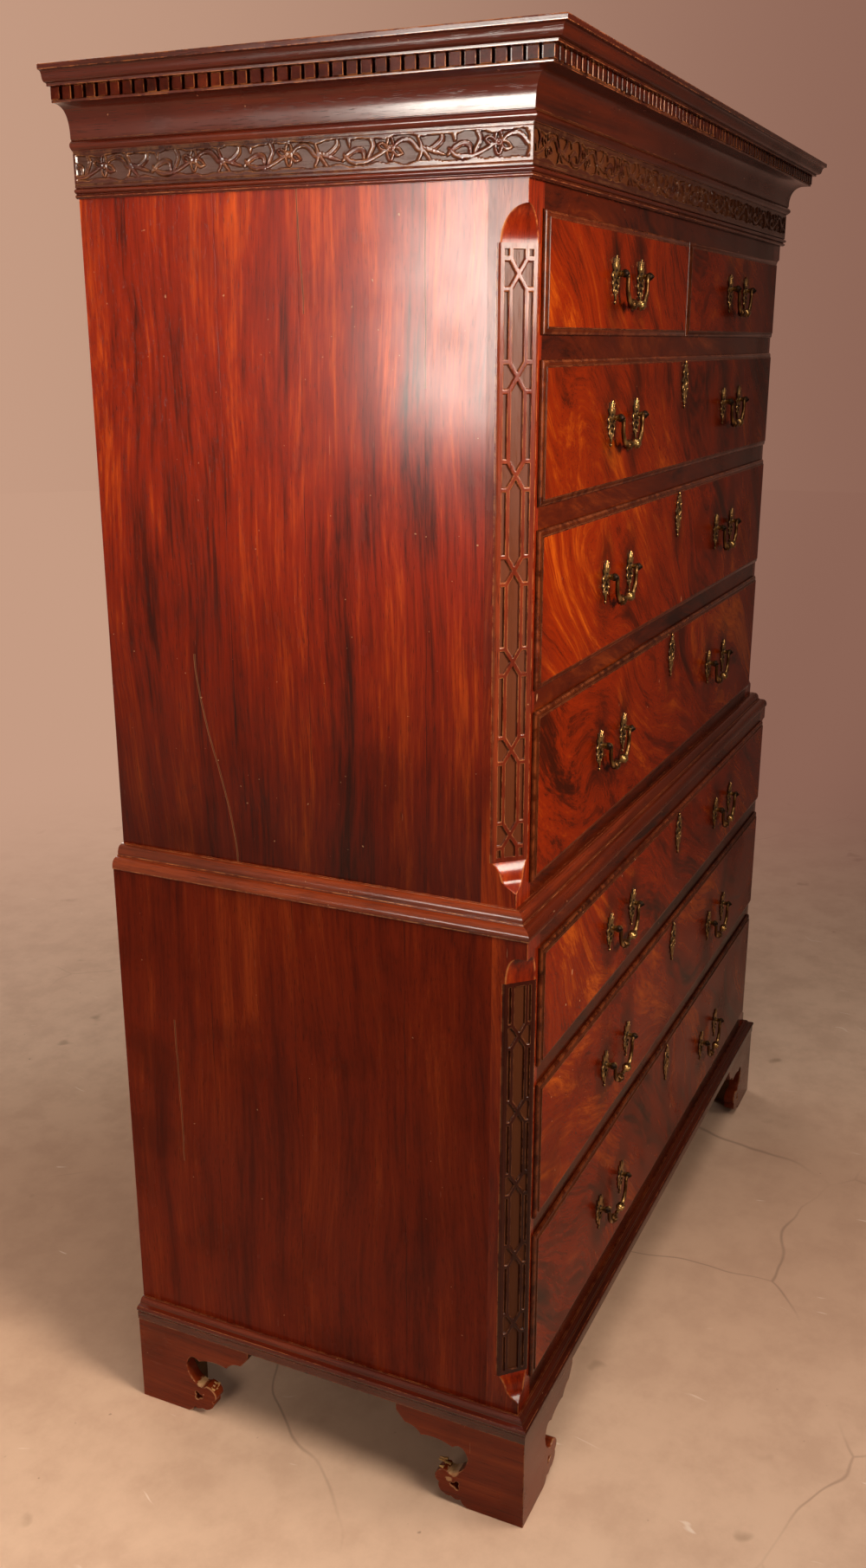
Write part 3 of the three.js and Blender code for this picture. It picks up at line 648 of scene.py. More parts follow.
# The front runs are a darker copy of the side runs, as painted shade on the front.
shaded_front_mahogany = wood("mahogany along the front", "x", ("190502", "3c1004", "601f0a"), rubbed="84492a", coat=0.14,
               specular=0.14)
along_y = wood("mahogany along the side", "y", ("1e0703", "4a1306", "70280e"), coat=0.6, shift=(0.0, 0.0, 0.7))
waist_side = wood("waist moulding, side", "y", ("300d05", "6e280d", "943f18"), rubbed="c07a48", coat=0.55)
dentil_finish = wood("dentils", "x", ("1c0703", "431206", "68260f"), coat=0.03, specular=0.05,
                     shift=(0.3, 0.0, 0.9))
edge_finish = wood("drawer edge", "x", ("140401", "320d02", "501806"), rubbed="8a4422", coat=0.15,
                   specular=0.12)
print("case finishes", len(bpy.data.materials))

# %% [markdown]
# ## Finishes of carving and feet
# Carved wood is darker, since wax and dust stay in the ground of it and painted shade lies there too, and its
# tops are painted paler, rubbed and as painted highlight. The front band is darker still, with painted shade.
# The feet are dry and knocked about; on the left ones the scrolls have lost their tips.

# %% Finishes of carving and feet
# The front band is a darker copy of the side band, as painted shade on the front.
shaded_carved_front = wood("carved band, front", "x", ("160602", "301006", "481c0c"), rubbed="74482a", bump=0.4, coat=0.12,
                specular=0.15)
carved_y = wood("carved band, side", "y", ("300e06", "5c2210", "80401e"), rubbed="ac7448", bump=0.4)
fret_finish = {
    "upper": wood("upper fret", "z", ("260b05", "4a160a", "6a2812"), rubbed="9a6038", bump=0.35, coat=0.2,
                  specular=0.15),
    "lower": wood("lower fret", "z", ("150502", "2e0c05", "461a0a"), rubbed="7c4a2c", bump=0.35, coat=0.2,
                  specular=0.15),
}
FOOT_SIDE = {"grain": "y", "tones": ("32100a", "66220c", "883816"), "rubbed": "a8744c", "coat": 0.16,
             "specular": 0.15}
foot_x = wood("foot, front", "x", ("32100a", "5e200c", "803416"), rubbed="a8744c", coat=0.1, specular=0.12)
foot_y = wood("foot, side", **FOOT_SIDE)
chipped_foot = wood("chipped foot, side", **FOOT_SIDE,
                    marks=chip_marks([(-196.0, 54.0, 9.0), (-191.0, 40.0, 5.0), (214.0, 54.0, 6.0)]))
broken_wood = wood("broken pale wood", "y", ("8a6236", "b58a54", "cfa873"), rubbed="e0c090", coat=0.0,
                   specular=0.2)
print("carving and foot finishes", len(bpy.data.materials))

# %% [markdown]
# ## Finishes out of sight
# Backs, tops and linings were never polished. They are bare oak, grey-brown and dull, and the back boards
# differ a little from one to the next.

# %% Finishes out of sight
plain_boards = wood("inside boards", "x", ("5a3c20", "7c5a36", "96744a"), rubbed="b09068", coat=0.0,
                    specular=0.2)
BACKS = {"grain": "z", "tones": ("4c3018", "70502e", "8c6840"), "rubbed": "a8855c", "coat": 0.0,
         "specular": 0.15}
back_finish = {
    "upper": wood("upper back boards", **BACKS,
                  marks=board_marks((-402, -215, 18, 201, 418), [((300, 1690), (290, 1340))], "X", 3.0, 0.45)),
    "lower": wood("lower back boards", **BACKS, shift=(1.2, 0.0, 0.4),
                  marks=board_marks((-478, -262, -60, 139, 380), [((-30, 700), (-18, 160))], "X", 3.0, 0.5)),
}
print("finishes", len(bpy.data.materials))


# %% [markdown]
# ## Boards that stay
# These solids have the right shape already, so their meshes are kept. They get their finish, and a small
# bevel on every arris, which a modifier can add without changing the mesh.

# %% Boards that stay
def finish_node(name, finish, bevel=0.8):
    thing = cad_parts[name]
    for slot in thing.material_slots:
        slot.material = finish
    edge = thing.modifiers.new("arris", "BEVEL")
    edge.width = bevel * MM
    edge.segments = 2
    edge.limit_method = "ANGLE"
    edge.angle_limit = math.radians(40)
    edge.harden_normals = True


for side in ("left", "right"):
    finish_node(f"upper_{side}_side", side_finish)
    finish_node(f"lower_{side}_side", lower_side_finish)
for stage in ("upper", "lower"):
    finish_node(f"{stage}_back_board", back_finish[stage], 1.6)
    finish_node(f"{stage}_floor_board", rail_finish)
finish_node("upper_top_board", plain_boards)
for name in ("upper_top_rail", "lower_top_board", "upper_dustboard_1", "upper_dustboard_2", "upper_dustboard_3",
             "lower_dustboard_1", "lower_dustboard_2"):
    finish_node(name, rail_finish)
finish_node("short_drawer_divider", upright, 0.5)
print("boards finished")

# %% [markdown]
# ## Drawer linings
# Each drawer box has its own finish, because the dovetails are counted from that box's own corners.

# %% Drawer linings
drawers = ["short_left_drawer", "short_right_drawer"]
drawers += [f"{stage}_drawer_{n}" for stage in ("upper", "lower") for n in (1, 2, 3)]
for drawer in drawers:
    corners = [tuple(corner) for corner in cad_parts[f"{drawer}_box"].bound_box]
    low, high = ([pick(c[i] for c in corners) for i in range(3)] for pick in (min, max))
    lining = wood(f"{drawer} linings", "y", ("644424", "84603a", "a07c52"), rubbed="c2a27a", coat=0.0,
                  specular=0.2, marks=dovetail_marks(low, high))
    finish_node(f"{drawer}_box", lining, 0.6)
print("linings", len(drawers))


# %% [markdown]
# ## Mitred mouldings
# A moulding is planed as one long stick, then cut at 45 degrees round the corners. Each is made the same way
# here: one outline, and three lengths that meet on the mitres, left, front and right, with the grain along
# each. In an outline u is how far the wood stands out from the case and v is the height.

# %% Mitred mouldings
def moulding(name, profile, half, front, z0, finishes, radius=0.6):
    left = [lambda u, v: (-half - u, BACK, z0 + v), lambda u, v: (-half - u, front - u, z0 + v)]
    middle = [left[1], lambda u, v: (half + u, front - u, z0 + v)]
    right = [middle[1], lambda u, v: (half + u, BACK, z0 + v)]
    for word, stations, finish in (("left", left, finishes[1]), ("front", middle, finishes[0]),
                                   ("right", right, finishes[1])):
        prism(f"{name}_{word}", profile, stations, finish, (name,), radius)


cornice_profile = chain(
    [(-20, 0), (7.4, 0)], bend((7.4, 0.6), (16.0, 6.0), (7.4, 11.4), 10),
    [(7.4, 12.6), (8.6, 12.6), (8.6, 14.4)], bend((8.6, 14.4), (8.6, 47.5), (33.0, 48.0), 16),
    [(38.4, 48.0), (38.4, 51.0), (34.0, 51.0), (34.0, 64.5), (45.6, 64.5), (45.6, 67.4), (46.8, 67.6)],
    bend((46.8, 67.6), (52.6, 68.0), (53.4, 73.5), 7), bend((53.4, 73.5), (54.2, 79.2), (57.6, 79.6), 7),
    [(60.0, 80.0), (60.0, 86.0), (-20.0, 86.0)])
astragal_profile = chain(
    [(0, 0), (4.4, 0)], bend((4.4, 0.3), (9.2, 2.5), (4.4, 4.8), 7), [(4.4, 5.3)],
    bend((4.4, 5.3), (12.2, 8.4), (4.4, 11.6), 10), [(4.4, 12.0), (0, 12.0)])
waist_profile = chain(
    [(0, 0), (27.2, 0), (28.0, 1.4), (28.0, 4.8)], bend((28.0, 4.8), (27.0, 14.8), (16.6, 15.2), 10),
    [(16.0, 15.2), (16.0, 17.0), (14.2, 17.0)], bend((14.2, 17.0), (13.6, 28.4), (6.4, 29.2), 9),
    [(5.4, 29.4), (5.4, 30.0), (0, 30.0)])
base_profile = chain(
    [(0, -12), (17.0, -12), (17.0, 0.0), (16.4, 0.4)], bend((16.4, 1.4), (21.2, 5.2), (16.6, 9.2), 9),
    [(15.6, 9.4), (9.6, 10.4)], bend((9.6, 10.4), (8.2, 16.8), (3.4, 17.0), 8),
    [(2.7, 17.2), (2.7, 18.0), (0, 18.0)])
moulding("cornice", cornice_profile, UPPER_HALF, UPPER_FRONT, CORNICE_Z, (shaded_front_mahogany, along_y))
moulding("frieze_astragal", astragal_profile, UPPER_HALF, UPPER_FRONT, ASTRAGAL_Z, (shaded_front_mahogany, along_y), 0.3)
moulding("waist_moulding", waist_profile, UPPER_HALF, UPPER_FRONT, UPPER_CASE_Z, (shaded_front_mahogany, waist_side))
moulding("base_moulding", base_profile, LOWER_HALF, LOWER_FRONT, BASE_Z, (shaded_front_mahogany, along_y))
print("mouldings", 4, "in three lengths each")


# %% [markdown]
# ## Small blocks
# Dentils and glue blocks are plain blocks with soft arrises. One object for each of more than a hundred
# dentils would be slow, so `Blocks` gathers many into one mesh. Its bevel faces are marked as worn, and the
# finish paints them paler, as wear and as painted highlight.

# %% Small blocks
class Blocks:
    def __init__(self):
        self.points, self.faces, self.wear = [], [], []

    def add(self, low, high, cut, tilt=0.0):
        start = len(self.points)
        index = {}
        middle = [(a + b) / 2 for a, b in zip(low, high)]
        for corner in range(8):
            ends = [high[k] if corner >> k & 1 else low[k] for k in range(3)]
            cuts = [math.copysign(cut, middle[k] - ends[k]) for k in range(3)]
            for axis in range(3):
                point = [ends[k] + (0 if k == axis else cuts[k]) for k in range(3)]
                point[2] += tilt * (point[0] - middle[0] + point[1] - middle[1])
                index[corner, axis] = start + len(index)
                self.points.append(tuple(point))
        for axis in range(3):
            first, second = (k for k in range(3) if k != axis)
            step_a, step_b = 1 << first, 1 << second
            for end in (0, 1 << axis):
                loop = (end, end + step_a, end + step_a + step_b, end + step_b)
                self.face((index[c, axis] for c in loop), 0.0)
            for a in (0, step_a, step_b, step_a + step_b):
                b = a + (1 << axis)
                self.face((index[a, first], index[b, first], index[b, second], index[a, second]), 1.0)
        for corner in range(8):
            self.face((index[corner, axis] for axis in range(3)), 1.0)

    def face(self, corners, worn_and_highlit):
        self.faces.append(tuple(corners))
        self.wear.append(worn_and_highlit)

    def build(self, name, material, replaced):
        thing = piece(name, self.points, self.faces, CARCASE, material, 20.0, replaced=replaced)
        layer = thing.data.attributes.new("wear", "FLOAT", "FACE")
        layer.data.foreach_set("value", self.wear)


print("block helper ready")


# %% [markdown]
# ## Dentils
# The comb of dentils was sawn by hand, so no two blocks are quite alike. Seeded chance moves each a little;
# the seed makes it the same little every time. The photograph shows 37 on the side.

# %% Dentils
DENTIL_PITCH, DENTIL_GAP, DENTIL_OUT, DENTIL_IN = 16.6, 4.2, 40.0, 33.5
DENTIL_LOW, DENTIL_HIGH = TOP_Z - 35.0 + 0.05, TOP_Z - 21.5 + 0.1


def dentil_run(length):
    count = round((length + DENTIL_GAP) / DENTIL_PITCH)
    pitch = (length + DENTIL_GAP) / count
    return [(k * pitch, k * pitch + pitch - DENTIL_GAP) for k in range(count)]


chance = random.Random(4)
for side, sign in (("left", -1), ("right", 1)):
    blocks = Blocks()
    ends = sorted((sign * (UPPER_HALF + DENTIL_IN), sign * (UPPER_HALF + DENTIL_OUT)))
    for first, last in dentil_run(BACK - UPPER_FRONT + DENTIL_OUT):
        shy = chance.uniform(0.0, 0.5)
        low = [ends[0] + (shy if sign < 0 else 0), BACK - last + chance.uniform(0, 0.4), DENTIL_LOW]
        high = [ends[1] - (0 if sign < 0 else shy), BACK - first - chance.uniform(0, 0.4), DENTIL_HIGH]
        blocks.add(low, high, 0.7, chance.uniform(-0.012, 0.012))
    blocks.build(f"dentils_{side}", dentil_finish, ("cornice",))
blocks = Blocks()
front_run = dentil_run(2 * (UPPER_HALF + DENTIL_OUT))
start_x, start_y = -UPPER_HALF - DENTIL_OUT, UPPER_FRONT - DENTIL_OUT
for first, last in front_run:
    low = [start_x + first + chance.uniform(0, 0.4), start_y + chance.uniform(0.0, 0.5), DENTIL_LOW]
    high = [start_x + last - chance.uniform(0, 0.4), UPPER_FRONT - DENTIL_IN, DENTIL_HIGH]
    blocks.add(low, high, 0.7, chance.uniform(-0.012, 0.012))
blocks.build("dentils_front", dentil_finish, ("cornice",))
print("dentils", len(front_run), "on the front")


# %% [markdown]
# ## Canted corner posts
# The outer corner of each post is cut back flat, a cant, between a small arch at the top and a lamb's tongue
# at the foot, where the cut runs out in a double curve. Where the fret sits, the cant is sunk by the
# thickness of the fret. The post is lofted from one ring of points at each level, and only the depth of
# the cant changes from ring to ring.

# %% Canted corner posts
FRET = 2.5
SINK = FRET * math.sqrt(2.0)
POST_DEEP, CURVE_STEPS = 46.0, 24


def cant_depths(cant, z0, z1, tongue, arch, square):
    """How deep the cant is at each level, as (level, depth)."""
    rows = [(z0, 0.0)]
    for k in range(CURVE_STEPS + 1):
        t = k / CURVE_STEPS
        depth = 0.6 * math.sin(math.pi / 2 * min(t / 0.45, 1)) + 0.4 * t**3
        rows.append((tongue[0] + (tongue[1] - tongue[0]) * t, cant * depth))
    rows += [(tongue[1] + 0.1, cant + SINK), (arch[0] - 0.1, cant + SINK)]
    for k in range(CURVE_STEPS + 1):
        angle = math.pi / 2 * k / CURVE_STEPS
        depth = max(math.cos(angle), 0.0) ** square
        rows.append((arch[0] + (arch[1] - arch[0]) * math.sin(angle), cant * depth))
    return rows + [(z1, 0.0)]


def post(name, sign, half, front, width, depths):
    points, wear = [], []
    for z, c in depths:
        bevel = min(0.5, 0.3 * c + 0.15)
        c = max(c, 0.3)
        far, near = (c - 3 * bevel, 3 * bevel) if c > 3 else (c * 0.6, c * 0.4)
        ring = [(width, 0.0, 0), (c + 3 * bevel, 0.0, 0), (c + bevel, 0.0, 1), (c - bevel, bevel, 1),
                (far, near, 0), (near, far, 0), (bevel, c - bevel, 1), (0.0, c + bevel, 1),
                (0.0, c + 3 * bevel, 0), (0.0, POST_DEEP, 0), (width, POST_DEEP, 0)]
        for a, b, worn_and_highlit in ring:
            points.append((sign * (half - a), front + b, z))
            wear.append(worn_and_highlit)
    piece(f"{name}_wood", points, loft(len(depths), len(ring)), CARCASE, upright, 25.0, wear,
          replaced=(name,))


for side, sign in (("left", -1), ("right", 1)):
    post(f"upper_{side}_corner_post", sign, UPPER_HALF, UPPER_FRONT, 46.0,
         cant_depths(UPPER_CANT, UPPER_CASE_Z, CORNICE_Z, (896.0, 931.0), (1630.0, 1668.0), 1.0))
    post(f"lower_{side}_corner_post", sign, LOWER_HALF, LOWER_FRONT, 41.0,
         cant_depths(LOWER_CANT, FOOT_Z, UPPER_CASE_Z, (185.0, 220.0), (789.0, 825.0), 0.45))
print("posts done")


# %% [markdown]
# ## Carving
# A carver leaves the pattern standing and cuts the ground away. A carved sheet is a grid of points with a
# height each, and `Carving` keeps the heights: u along it, v up it. A stroke raises a leaf or stem with a
# crisp edge, and a scoop lowers its middle. Sculpting by hand could not be rerun, and a bump alone would
# lie flat in outline, so the heights become real geometry.

# %% Carving
def eased(values):
    rise = np.clip(values, 0, 1)
    return rise * rise * (3 - 2 * rise)


class Carving:
    def __init__(self, u0, u1, v0, v1, step):
        self.u = np.linspace(u0, u1, max(2, round((u1 - u0) / step) + 1))
        self.v = np.linspace(v0, v1, max(2, round((v1 - v0) / step) + 1))
        self.grid_u, self.grid_v = np.meshgrid(self.u, self.v, indexing="ij")
        self.height = np.zeros_like(self.grid_u)

    def window(self, path, reach):
        us, vs = [p[0] for p in path], [p[1] for p in path]
        a = np.searchsorted(self.u, [min(us) - reach, max(us) + reach])
        b = np.searchsorted(self.v, [min(vs) - reach, max(vs) + reach])
        return slice(a[0], a[1] + 1), slice(b[0], b[1] + 1)

    def distance(self, path, widths, area):
        u, v = self.grid_u[area], self.grid_v[area]
        best = np.full_like(u, 1e6)
        for k in range(len(path) - 1):
            (ax, ay), (bx, by) = path[k], path[k + 1]
            dx, dy = bx - ax, by - ay
            t = np.clip(((u - ax) * dx + (v - ay) * dy) / max(dx * dx + dy * dy, 1e-9), 0, 1)
            half = widths[k] + (widths[k + 1] - widths[k]) * t
            best = np.minimum(best, np.hypot(u - ax - t * dx, v - ay - t * dy) - half)
        return best

    def lift(self, heights, area=...):
        self.height[area] = np.maximum(self.height[area], heights)

    def stroke(self, path, widths, top=2.5, edge=0.9, scoop=0.0):
        path = smooth_path(path)
        widths = np.interp(np.linspace(0, 1, len(path)), np.linspace(0, 1, len(widths)), widths)
        area = self.window(path, max(widths) + edge)
        gap = self.distance(path, widths, area)
        inner = np.clip(-gap / np.maximum(max(widths), 1e-6), 0, 1)
        self.lift(eased(0.5 - gap / edge) * (top - scoop * inner), area)


def smooth_path(path, count=6):
    """A smooth curve through the points of a path."""
    if len(path) < 3:
        return [tuple(p) for p in path]
    before = tuple(2 * a - b for a, b in zip(path[0], path[1]))
    after = tuple(2 * a - b for a, b in zip(path[-1], path[-2]))
    padded = [before] + [tuple(p) for p in path] + [after]
    out = []
    for k in range(1, len(padded) - 2):
        p0, p1, p2, p3 = (np.array(padded[k + j]) for j in (-1, 0, 1, 2))
        for step in range(count):
            t = step / count
            out.append(tuple(0.5 * (2 * p1 + (p2 - p0) * t + (2 * p0 - 5 * p1 + 4 * p2 - p3) * t * t
                                    + (3 * p1 - p0 - 3 * p2 + p3) * t ** 3)))
    out.append(tuple(path[-1]))
    return out


print("carving helpers ready")


# %% [markdown]
# ## From heights to a sheet
# `sheet` turns the grid into a mesh that lies wherever `place` puts it. Low points count as hollow and the
# upper edges of the pattern as worn, so the finish can darken the ground, for wax and as painted shade, and
# paint the tops paler, as wear and as painted highlight.

# %% From heights to a sheet
def grid_faces(rows, columns):
    grid = np.arange(rows * columns).reshape(rows, columns)
    return grid, np.stack([grid[:-1, :-1], grid[1:, :-1], grid[1:, 1:], grid[:-1, 1:]], axis=-1)


def sheet(name, carving, place, material, top, replaced=(), walls=()):
    """`place` turns u, v and height into a point; `walls` close chosen edges of the sheet."""
    u, v, h = carving.grid_u.ravel(), carving.grid_v.ravel(), carving.height.ravel()
    points = [place(a, b, c) for a, b, c in zip(u, v, h)]
    hollow = list(np.clip(1.2 - h / (0.45 * top), 0, 1))
    slope = np.hypot(*np.gradient(carving.height)).ravel()
    wear = list(np.clip(slope / 0.5, 0, 1) * np.clip(h / top * 1.6 - 0.7, 0, 1))
    grid, faces = grid_faces(*carving.height.shape)
    faces = faces.reshape(-1, 4).tolist()
    for edge, extra in walls:
        line = {"start": grid[0], "end": grid[-1], "low": grid[:, 0], "high": grid[:, -1]}[edge]
        first = len(points)
        for i in line:
            points.append(extra(u[i], v[i]))
            wear.append(0.3)
            hollow.append(0.0)
        faces += [(int(line[k]), int(line[k + 1]), first + k + 1, first + k) for k in range(len(line) - 1)]
    return piece(name, points, faces, CARCASE, material, 50.0, wear, hollow, replaced)


print("sheet helper ready")

# %% [markdown]
# ## The vine
# One repeat of the running vine is 125 mm long: a flower on a tall ring, two almond leaves, a scrolling stem
# and a broad leaf over it. Each line of `VINE` is one cut of it: where it runs, its half widths from end to
# end, and how deep its middle is scooped.

# %% The vine
PERIOD, FLOWER_AT = 125.3, 43.0
VINE = [
    ([(-42, 11), (-28, 11.8), (-13, 17.6), (-4, 22)], (2.6, 2.0, 1.8, 1.6), 0.0),
    ([(-42, 11), (-50, 13.5), (-56, 19.5)], (2.6, 2.0, 1.2), 0.0),
    ([(4, 24), (11, 29.6), (21, 31), (28, 26.6), (33, 20.7), (37, 21)], (1.5, 1.9, 2.2, 2.4, 2.2, 2.0), 0.0),
    ([(37, 21), (35.6, 27), (33, 33)], (2.2, 1.6, 1.0), 0.0),
    ([(39, 22), (48, 20), (56, 24), (61, 29), (61, 34.5)], (1.6, 2.8, 3.2, 3.0, 1.6), 0.9),
    ([(44, 21), (53, 17.5), (64, 14)], (1.6, 2.2, 1.0), 0.5),
    ([(37, 21), (36, 15), (33, 10)], (1.9, 1.6, 1.4), 0.0),
    ([(38, 20), (43, 15), (47, 10)], (1.9, 1.7, 1.5), 0.0),
    ([(68, 13.5), (76, 20), (85, 23.6), (92.8, 22), (94, 13)], (1.4, 2.6, 3.0, 2.6, 1.4), 0.8),
    ([(75, 34), (75.6, 30), (76, 27)], (2.6, 1.8, 1.0), 0.0),
    ([(102, 35), (105, 27), (100.5, 18), (97.5, 12)], (2.6, 2.3, 2.2, 1.6), 0.4),
    ([(-3, 24), (-9, 28.6), (-15, 27)], (1.0, 1.5, 0.9), 0.0),
    ([(-3, 21.6), (-10, 22), (-15, 27)], (1.0, 1.5, 0.9), 0.0),
    ([(3, 24), (10, 22.6), (15, 17)], (1.0, 1.5, 0.9), 0.0),
    ([(3, 21), (8, 16), (15, 17)], (1.0, 1.5, 0.9), 0.0),
    ([(33, 33), (33.4, 33.2)], (1.8, 1.8), 0.0),
]
RING = [(4 * math.cos(a), 23 + 11.5 * math.sin(a)) for a in np.linspace(0, 2 * math.pi, 25)]
print("cuts in a repeat", len(VINE) + 2)


# %% [markdown]
# ## Carved frieze
# The vine lies in a sunk band between two flat borders, whose inner edges wave as the carver's gouge did.
# Each border has a thin groove along it. One carving serves both sides of the chest, mirrored.

# %% Carved frieze
FRIEZE_HIGH, CARVED, CRISP = 40.0, 2.5, 0.9


def carve_frieze(length):
    """u runs from the back corner on a side, or from the left corner on the front."""
    carving = Carving(0.0, length, 0.0, FRIEZE_HIGH, 0.8)
    u, v = carving.grid_u, carving.grid_v
    turn = u * 2 * math.pi
    low = 9.2 + 1.3 * np.sin(u / 13.3) * np.sin(u / 5.1 + 1.0) - 1.6 * np.clip(np.cos(turn / 62.65), 0, 1)
    high = 35.0 + 1.1 * np.sin(u / 11.7 + 2.0) - 2.2 * np.clip(np.cos(turn / 41.8 + 0.8), 0.2, 1)
    for edge in (low - v, v - high):
        carving.lift(CARVED * eased(0.5 + edge / CRISP))
    for end in (4.0 - u, u - (length - 4.0)):
        carving.lift(CARVED * np.clip(0.5 + end / CRISP, 0, 1))
    centre = FLOWER_AT - PERIOD
    while centre < length + PERIOD:
        for path, widths, scoop in VINE:
            moved = [(a + centre, b) for a, b in path]
            if max(p[0] for p in moved) > 0 and min(p[0] for p in moved) < length:
                carving.stroke(moved, widths, 2.4, CRISP, scoop)
        if -10 < centre < length + 10:
            carving.stroke([(a + centre, b) for a, b in RING], (1.3, 1.3), 2.2)
            carving.stroke([(centre - 0.5, 23), (centre + 0.5, 23)], (3.6, 3.6), 2.9, 1.4, 0.9)
        centre += PERIOD
    groove = np.minimum(np.abs(v - 3.2), np.abs(v - 38.2))
    carving.height -= 0.5 * np.clip(1 - groove / 0.7, 0, 1)
    return carving


def frieze_side(sign):
    def place(u, v, h):
        along = BACK - u * (side_length - CARVED + h) / side_length
        return (sign * (UPPER_HALF + 3.5 + h), along, FRIEZE_Z + v)

    def wall(u, v):
        return (sign * UPPER_HALF, BACK, FRIEZE_Z + v)
    return place, wall


side_length, front_length = BACK - UPPER_FRONT + 6.0, 2 * (UPPER_HALF + 6.0)
side_carving, front_carving = carve_frieze(side_length), carve_frieze(front_length)
for side, sign in (("left", -1), ("right", 1)):
    place, wall = frieze_side(sign)
    sheet(f"frieze_{side}", side_carving, place, carved_y, CARVED, ("frieze",), [("start", wall)])
sheet("frieze_front", front_carving,
      lambda u, v, h: ((u / front_length - 0.5) * (front_length - 2 * CARVED + 2 * h), UPPER_FRONT - 3.5 - h,
                       FRIEZE_Z + v),
      shaded_carved_front, CARVED, ("frieze",))
print("frieze points", side_carving.height.size * 2 + front_carving.height.size)


# %% [markdown]
# ## Pattern of the frets
# Each cant carries a fret, a lattice sawn from thin wood and glued on: two borders, two bars that cross
# again and again, and short cross bars above and below each crossing. It is raised as a carving is, because
# the glued fret and the wood behind it read as one surface.

# %% Pattern of the frets
BORDER, BAR, BAR_OUT, CROSS_HALF, CROSS_BAR = 5.4, 2.6, 9.2, 15.0, 15.5


def carve_fret(wide, z0, z1, centres):
    carving = Carving(0.0, wide, z0, z1, 0.7)
    s, z = carving.grid_u, carving.grid_v
    middle = wide / 2
    half = 0.5 * (centres[0] - centres[1])

    def bar(path):
        area = carving.window(path, 4.0)
        gap = carving.distance(path, [BAR] * len(path), area)
        carving.lift(FRET * eased(0.5 - gap / 0.8), area)

    for inside in (BORDER - s, s - (wide - BORDER), z0 + 6.0 - z, z - (z1 - 6.0)):
        carving.lift(FRET * eased(0.5 + inside / 0.8))
    for k, centre in enumerate(centres):
        above = centre + half if k else z1
        below = centre - half if k < len(centres) - 1 else z0
        for out in (-BAR_OUT, BAR_OUT):
            bar([(middle - out, above), (middle - out, centre + CROSS_HALF),
                 (middle + out, centre - CROSS_HALF), (middle + out, below)])
        for level in (centre - CROSS_BAR, centre + CROSS_BAR):
            bar([(0.0, level), (middle - BAR_OUT, level)])
            bar([(middle + BAR_OUT, level), (wide, level)])
    return carving


print("fret pattern ready")


# %% [markdown]
# ## Frets on the cants
# The surface of the fret lies on the cant and its ground is the sunk wood behind. Along the edges the sheet
# is closed by walls that reach back into the post.

# %% Frets on the cants
def fret_places(sign, half, front, cant, wide):
    sunk = cant + SINK

    def place(s, z, h):
        share, deep = s / wide, min((FRET - h) / math.sqrt(2.0), 1.7)
        return (sign * (half - cant * share - deep), front + cant * (1 - share) + deep, z)

    def outer(s, z):
        return (sign * half, front + sunk, z)

    def inner(s, z):
        return (sign * (half - sunk), front, z)

    def under(s, z):
        return (sign * (half - sunk * s / wide), front + sunk * (1 - s / wide), z)
    return place, [("start", outer), ("end", inner), ("low", under), ("high", under)]


for stage, half, front, cant, span, centres in (
        ("upper", UPPER_HALF, UPPER_FRONT, UPPER_CANT, (931.0, 1630.0), [1599 - 105.7 * k for k in range(7)]),
        ("lower", LOWER_HALF, LOWER_FRONT, LOWER_CANT, (220.0, 789.0), [716 - 104.5 * k for k in range(5)])):
    wide = cant * math.sqrt(2.0)
    fret_carving = carve_fret(wide, *span, centres)
    for side, sign in (("left", -1), ("right", 1)):
        place, walls = fret_places(sign, half, front, cant, wide)
        sheet(f"{stage}_{side}_fret", fret_carving, place, fret_finish[stage], FRET, walls=walls)
print("frets done")


# %% [markdown]
# ## Drawer fronts
# A front is one board with a quarter-round lip that laps over the case, a small step, and a flat field of
# flame veneer. The inner part fits the opening. The lip is a ring that shrinks and moves out step by step;
# only the flat field takes the veneer, and the rest has the straight grain of the edge.
#
# No two veneers are cut alike, so each front draws its own tones, lean and place in the figure from chance
# seeded with its own name.

# %% Drawer fronts
LIP = [(6.0, -15.0, 0, 0), (6.0, 0.3, 0, 0), (0.4, 0.3, 0, 0), (0.0, 0.7, 0, 0), (0.0, 2.0, 0.3, 0)]
LIP += [(6.4 - 6.4 * math.cos(math.radians(a)), 2.0 + 3.6 * math.sin(math.radians(a)),
         0.35 if 20 < a < 60 else 0.1, 0) for a in range(9, 91, 9)]
LIP += [(6.9, 5.6, 0, 1), (7.1, 5.7, 0, 1), (7.2, 6.7, 0.2, 0), (7.5, 7.0, 0.5, 0), (8.6, 7.0, 0, 0)]
FLAMES = [("260702", "601602", "943e06"), ("240702", "581402", "8c3a06"), ("280802", "601602", "964008")]
LEANS = (-38, -30, -24, -44)


def handle_centres(drawer, x0, x1, z0, z1):
    lowered = {"lower_drawer_2": 9.0, "lower_drawer_3": 14.0}.get(drawer, 0.0)
    level = (z0 + z1) / 2 + POST_LIFT - lowered
    if drawer.startswith("short"):
        return [((x0 + x1) / 2, level)]
    reach = 285.0 if drawer.startswith("upper") else 290.0
    return [(-reach, level), (reach, level)]


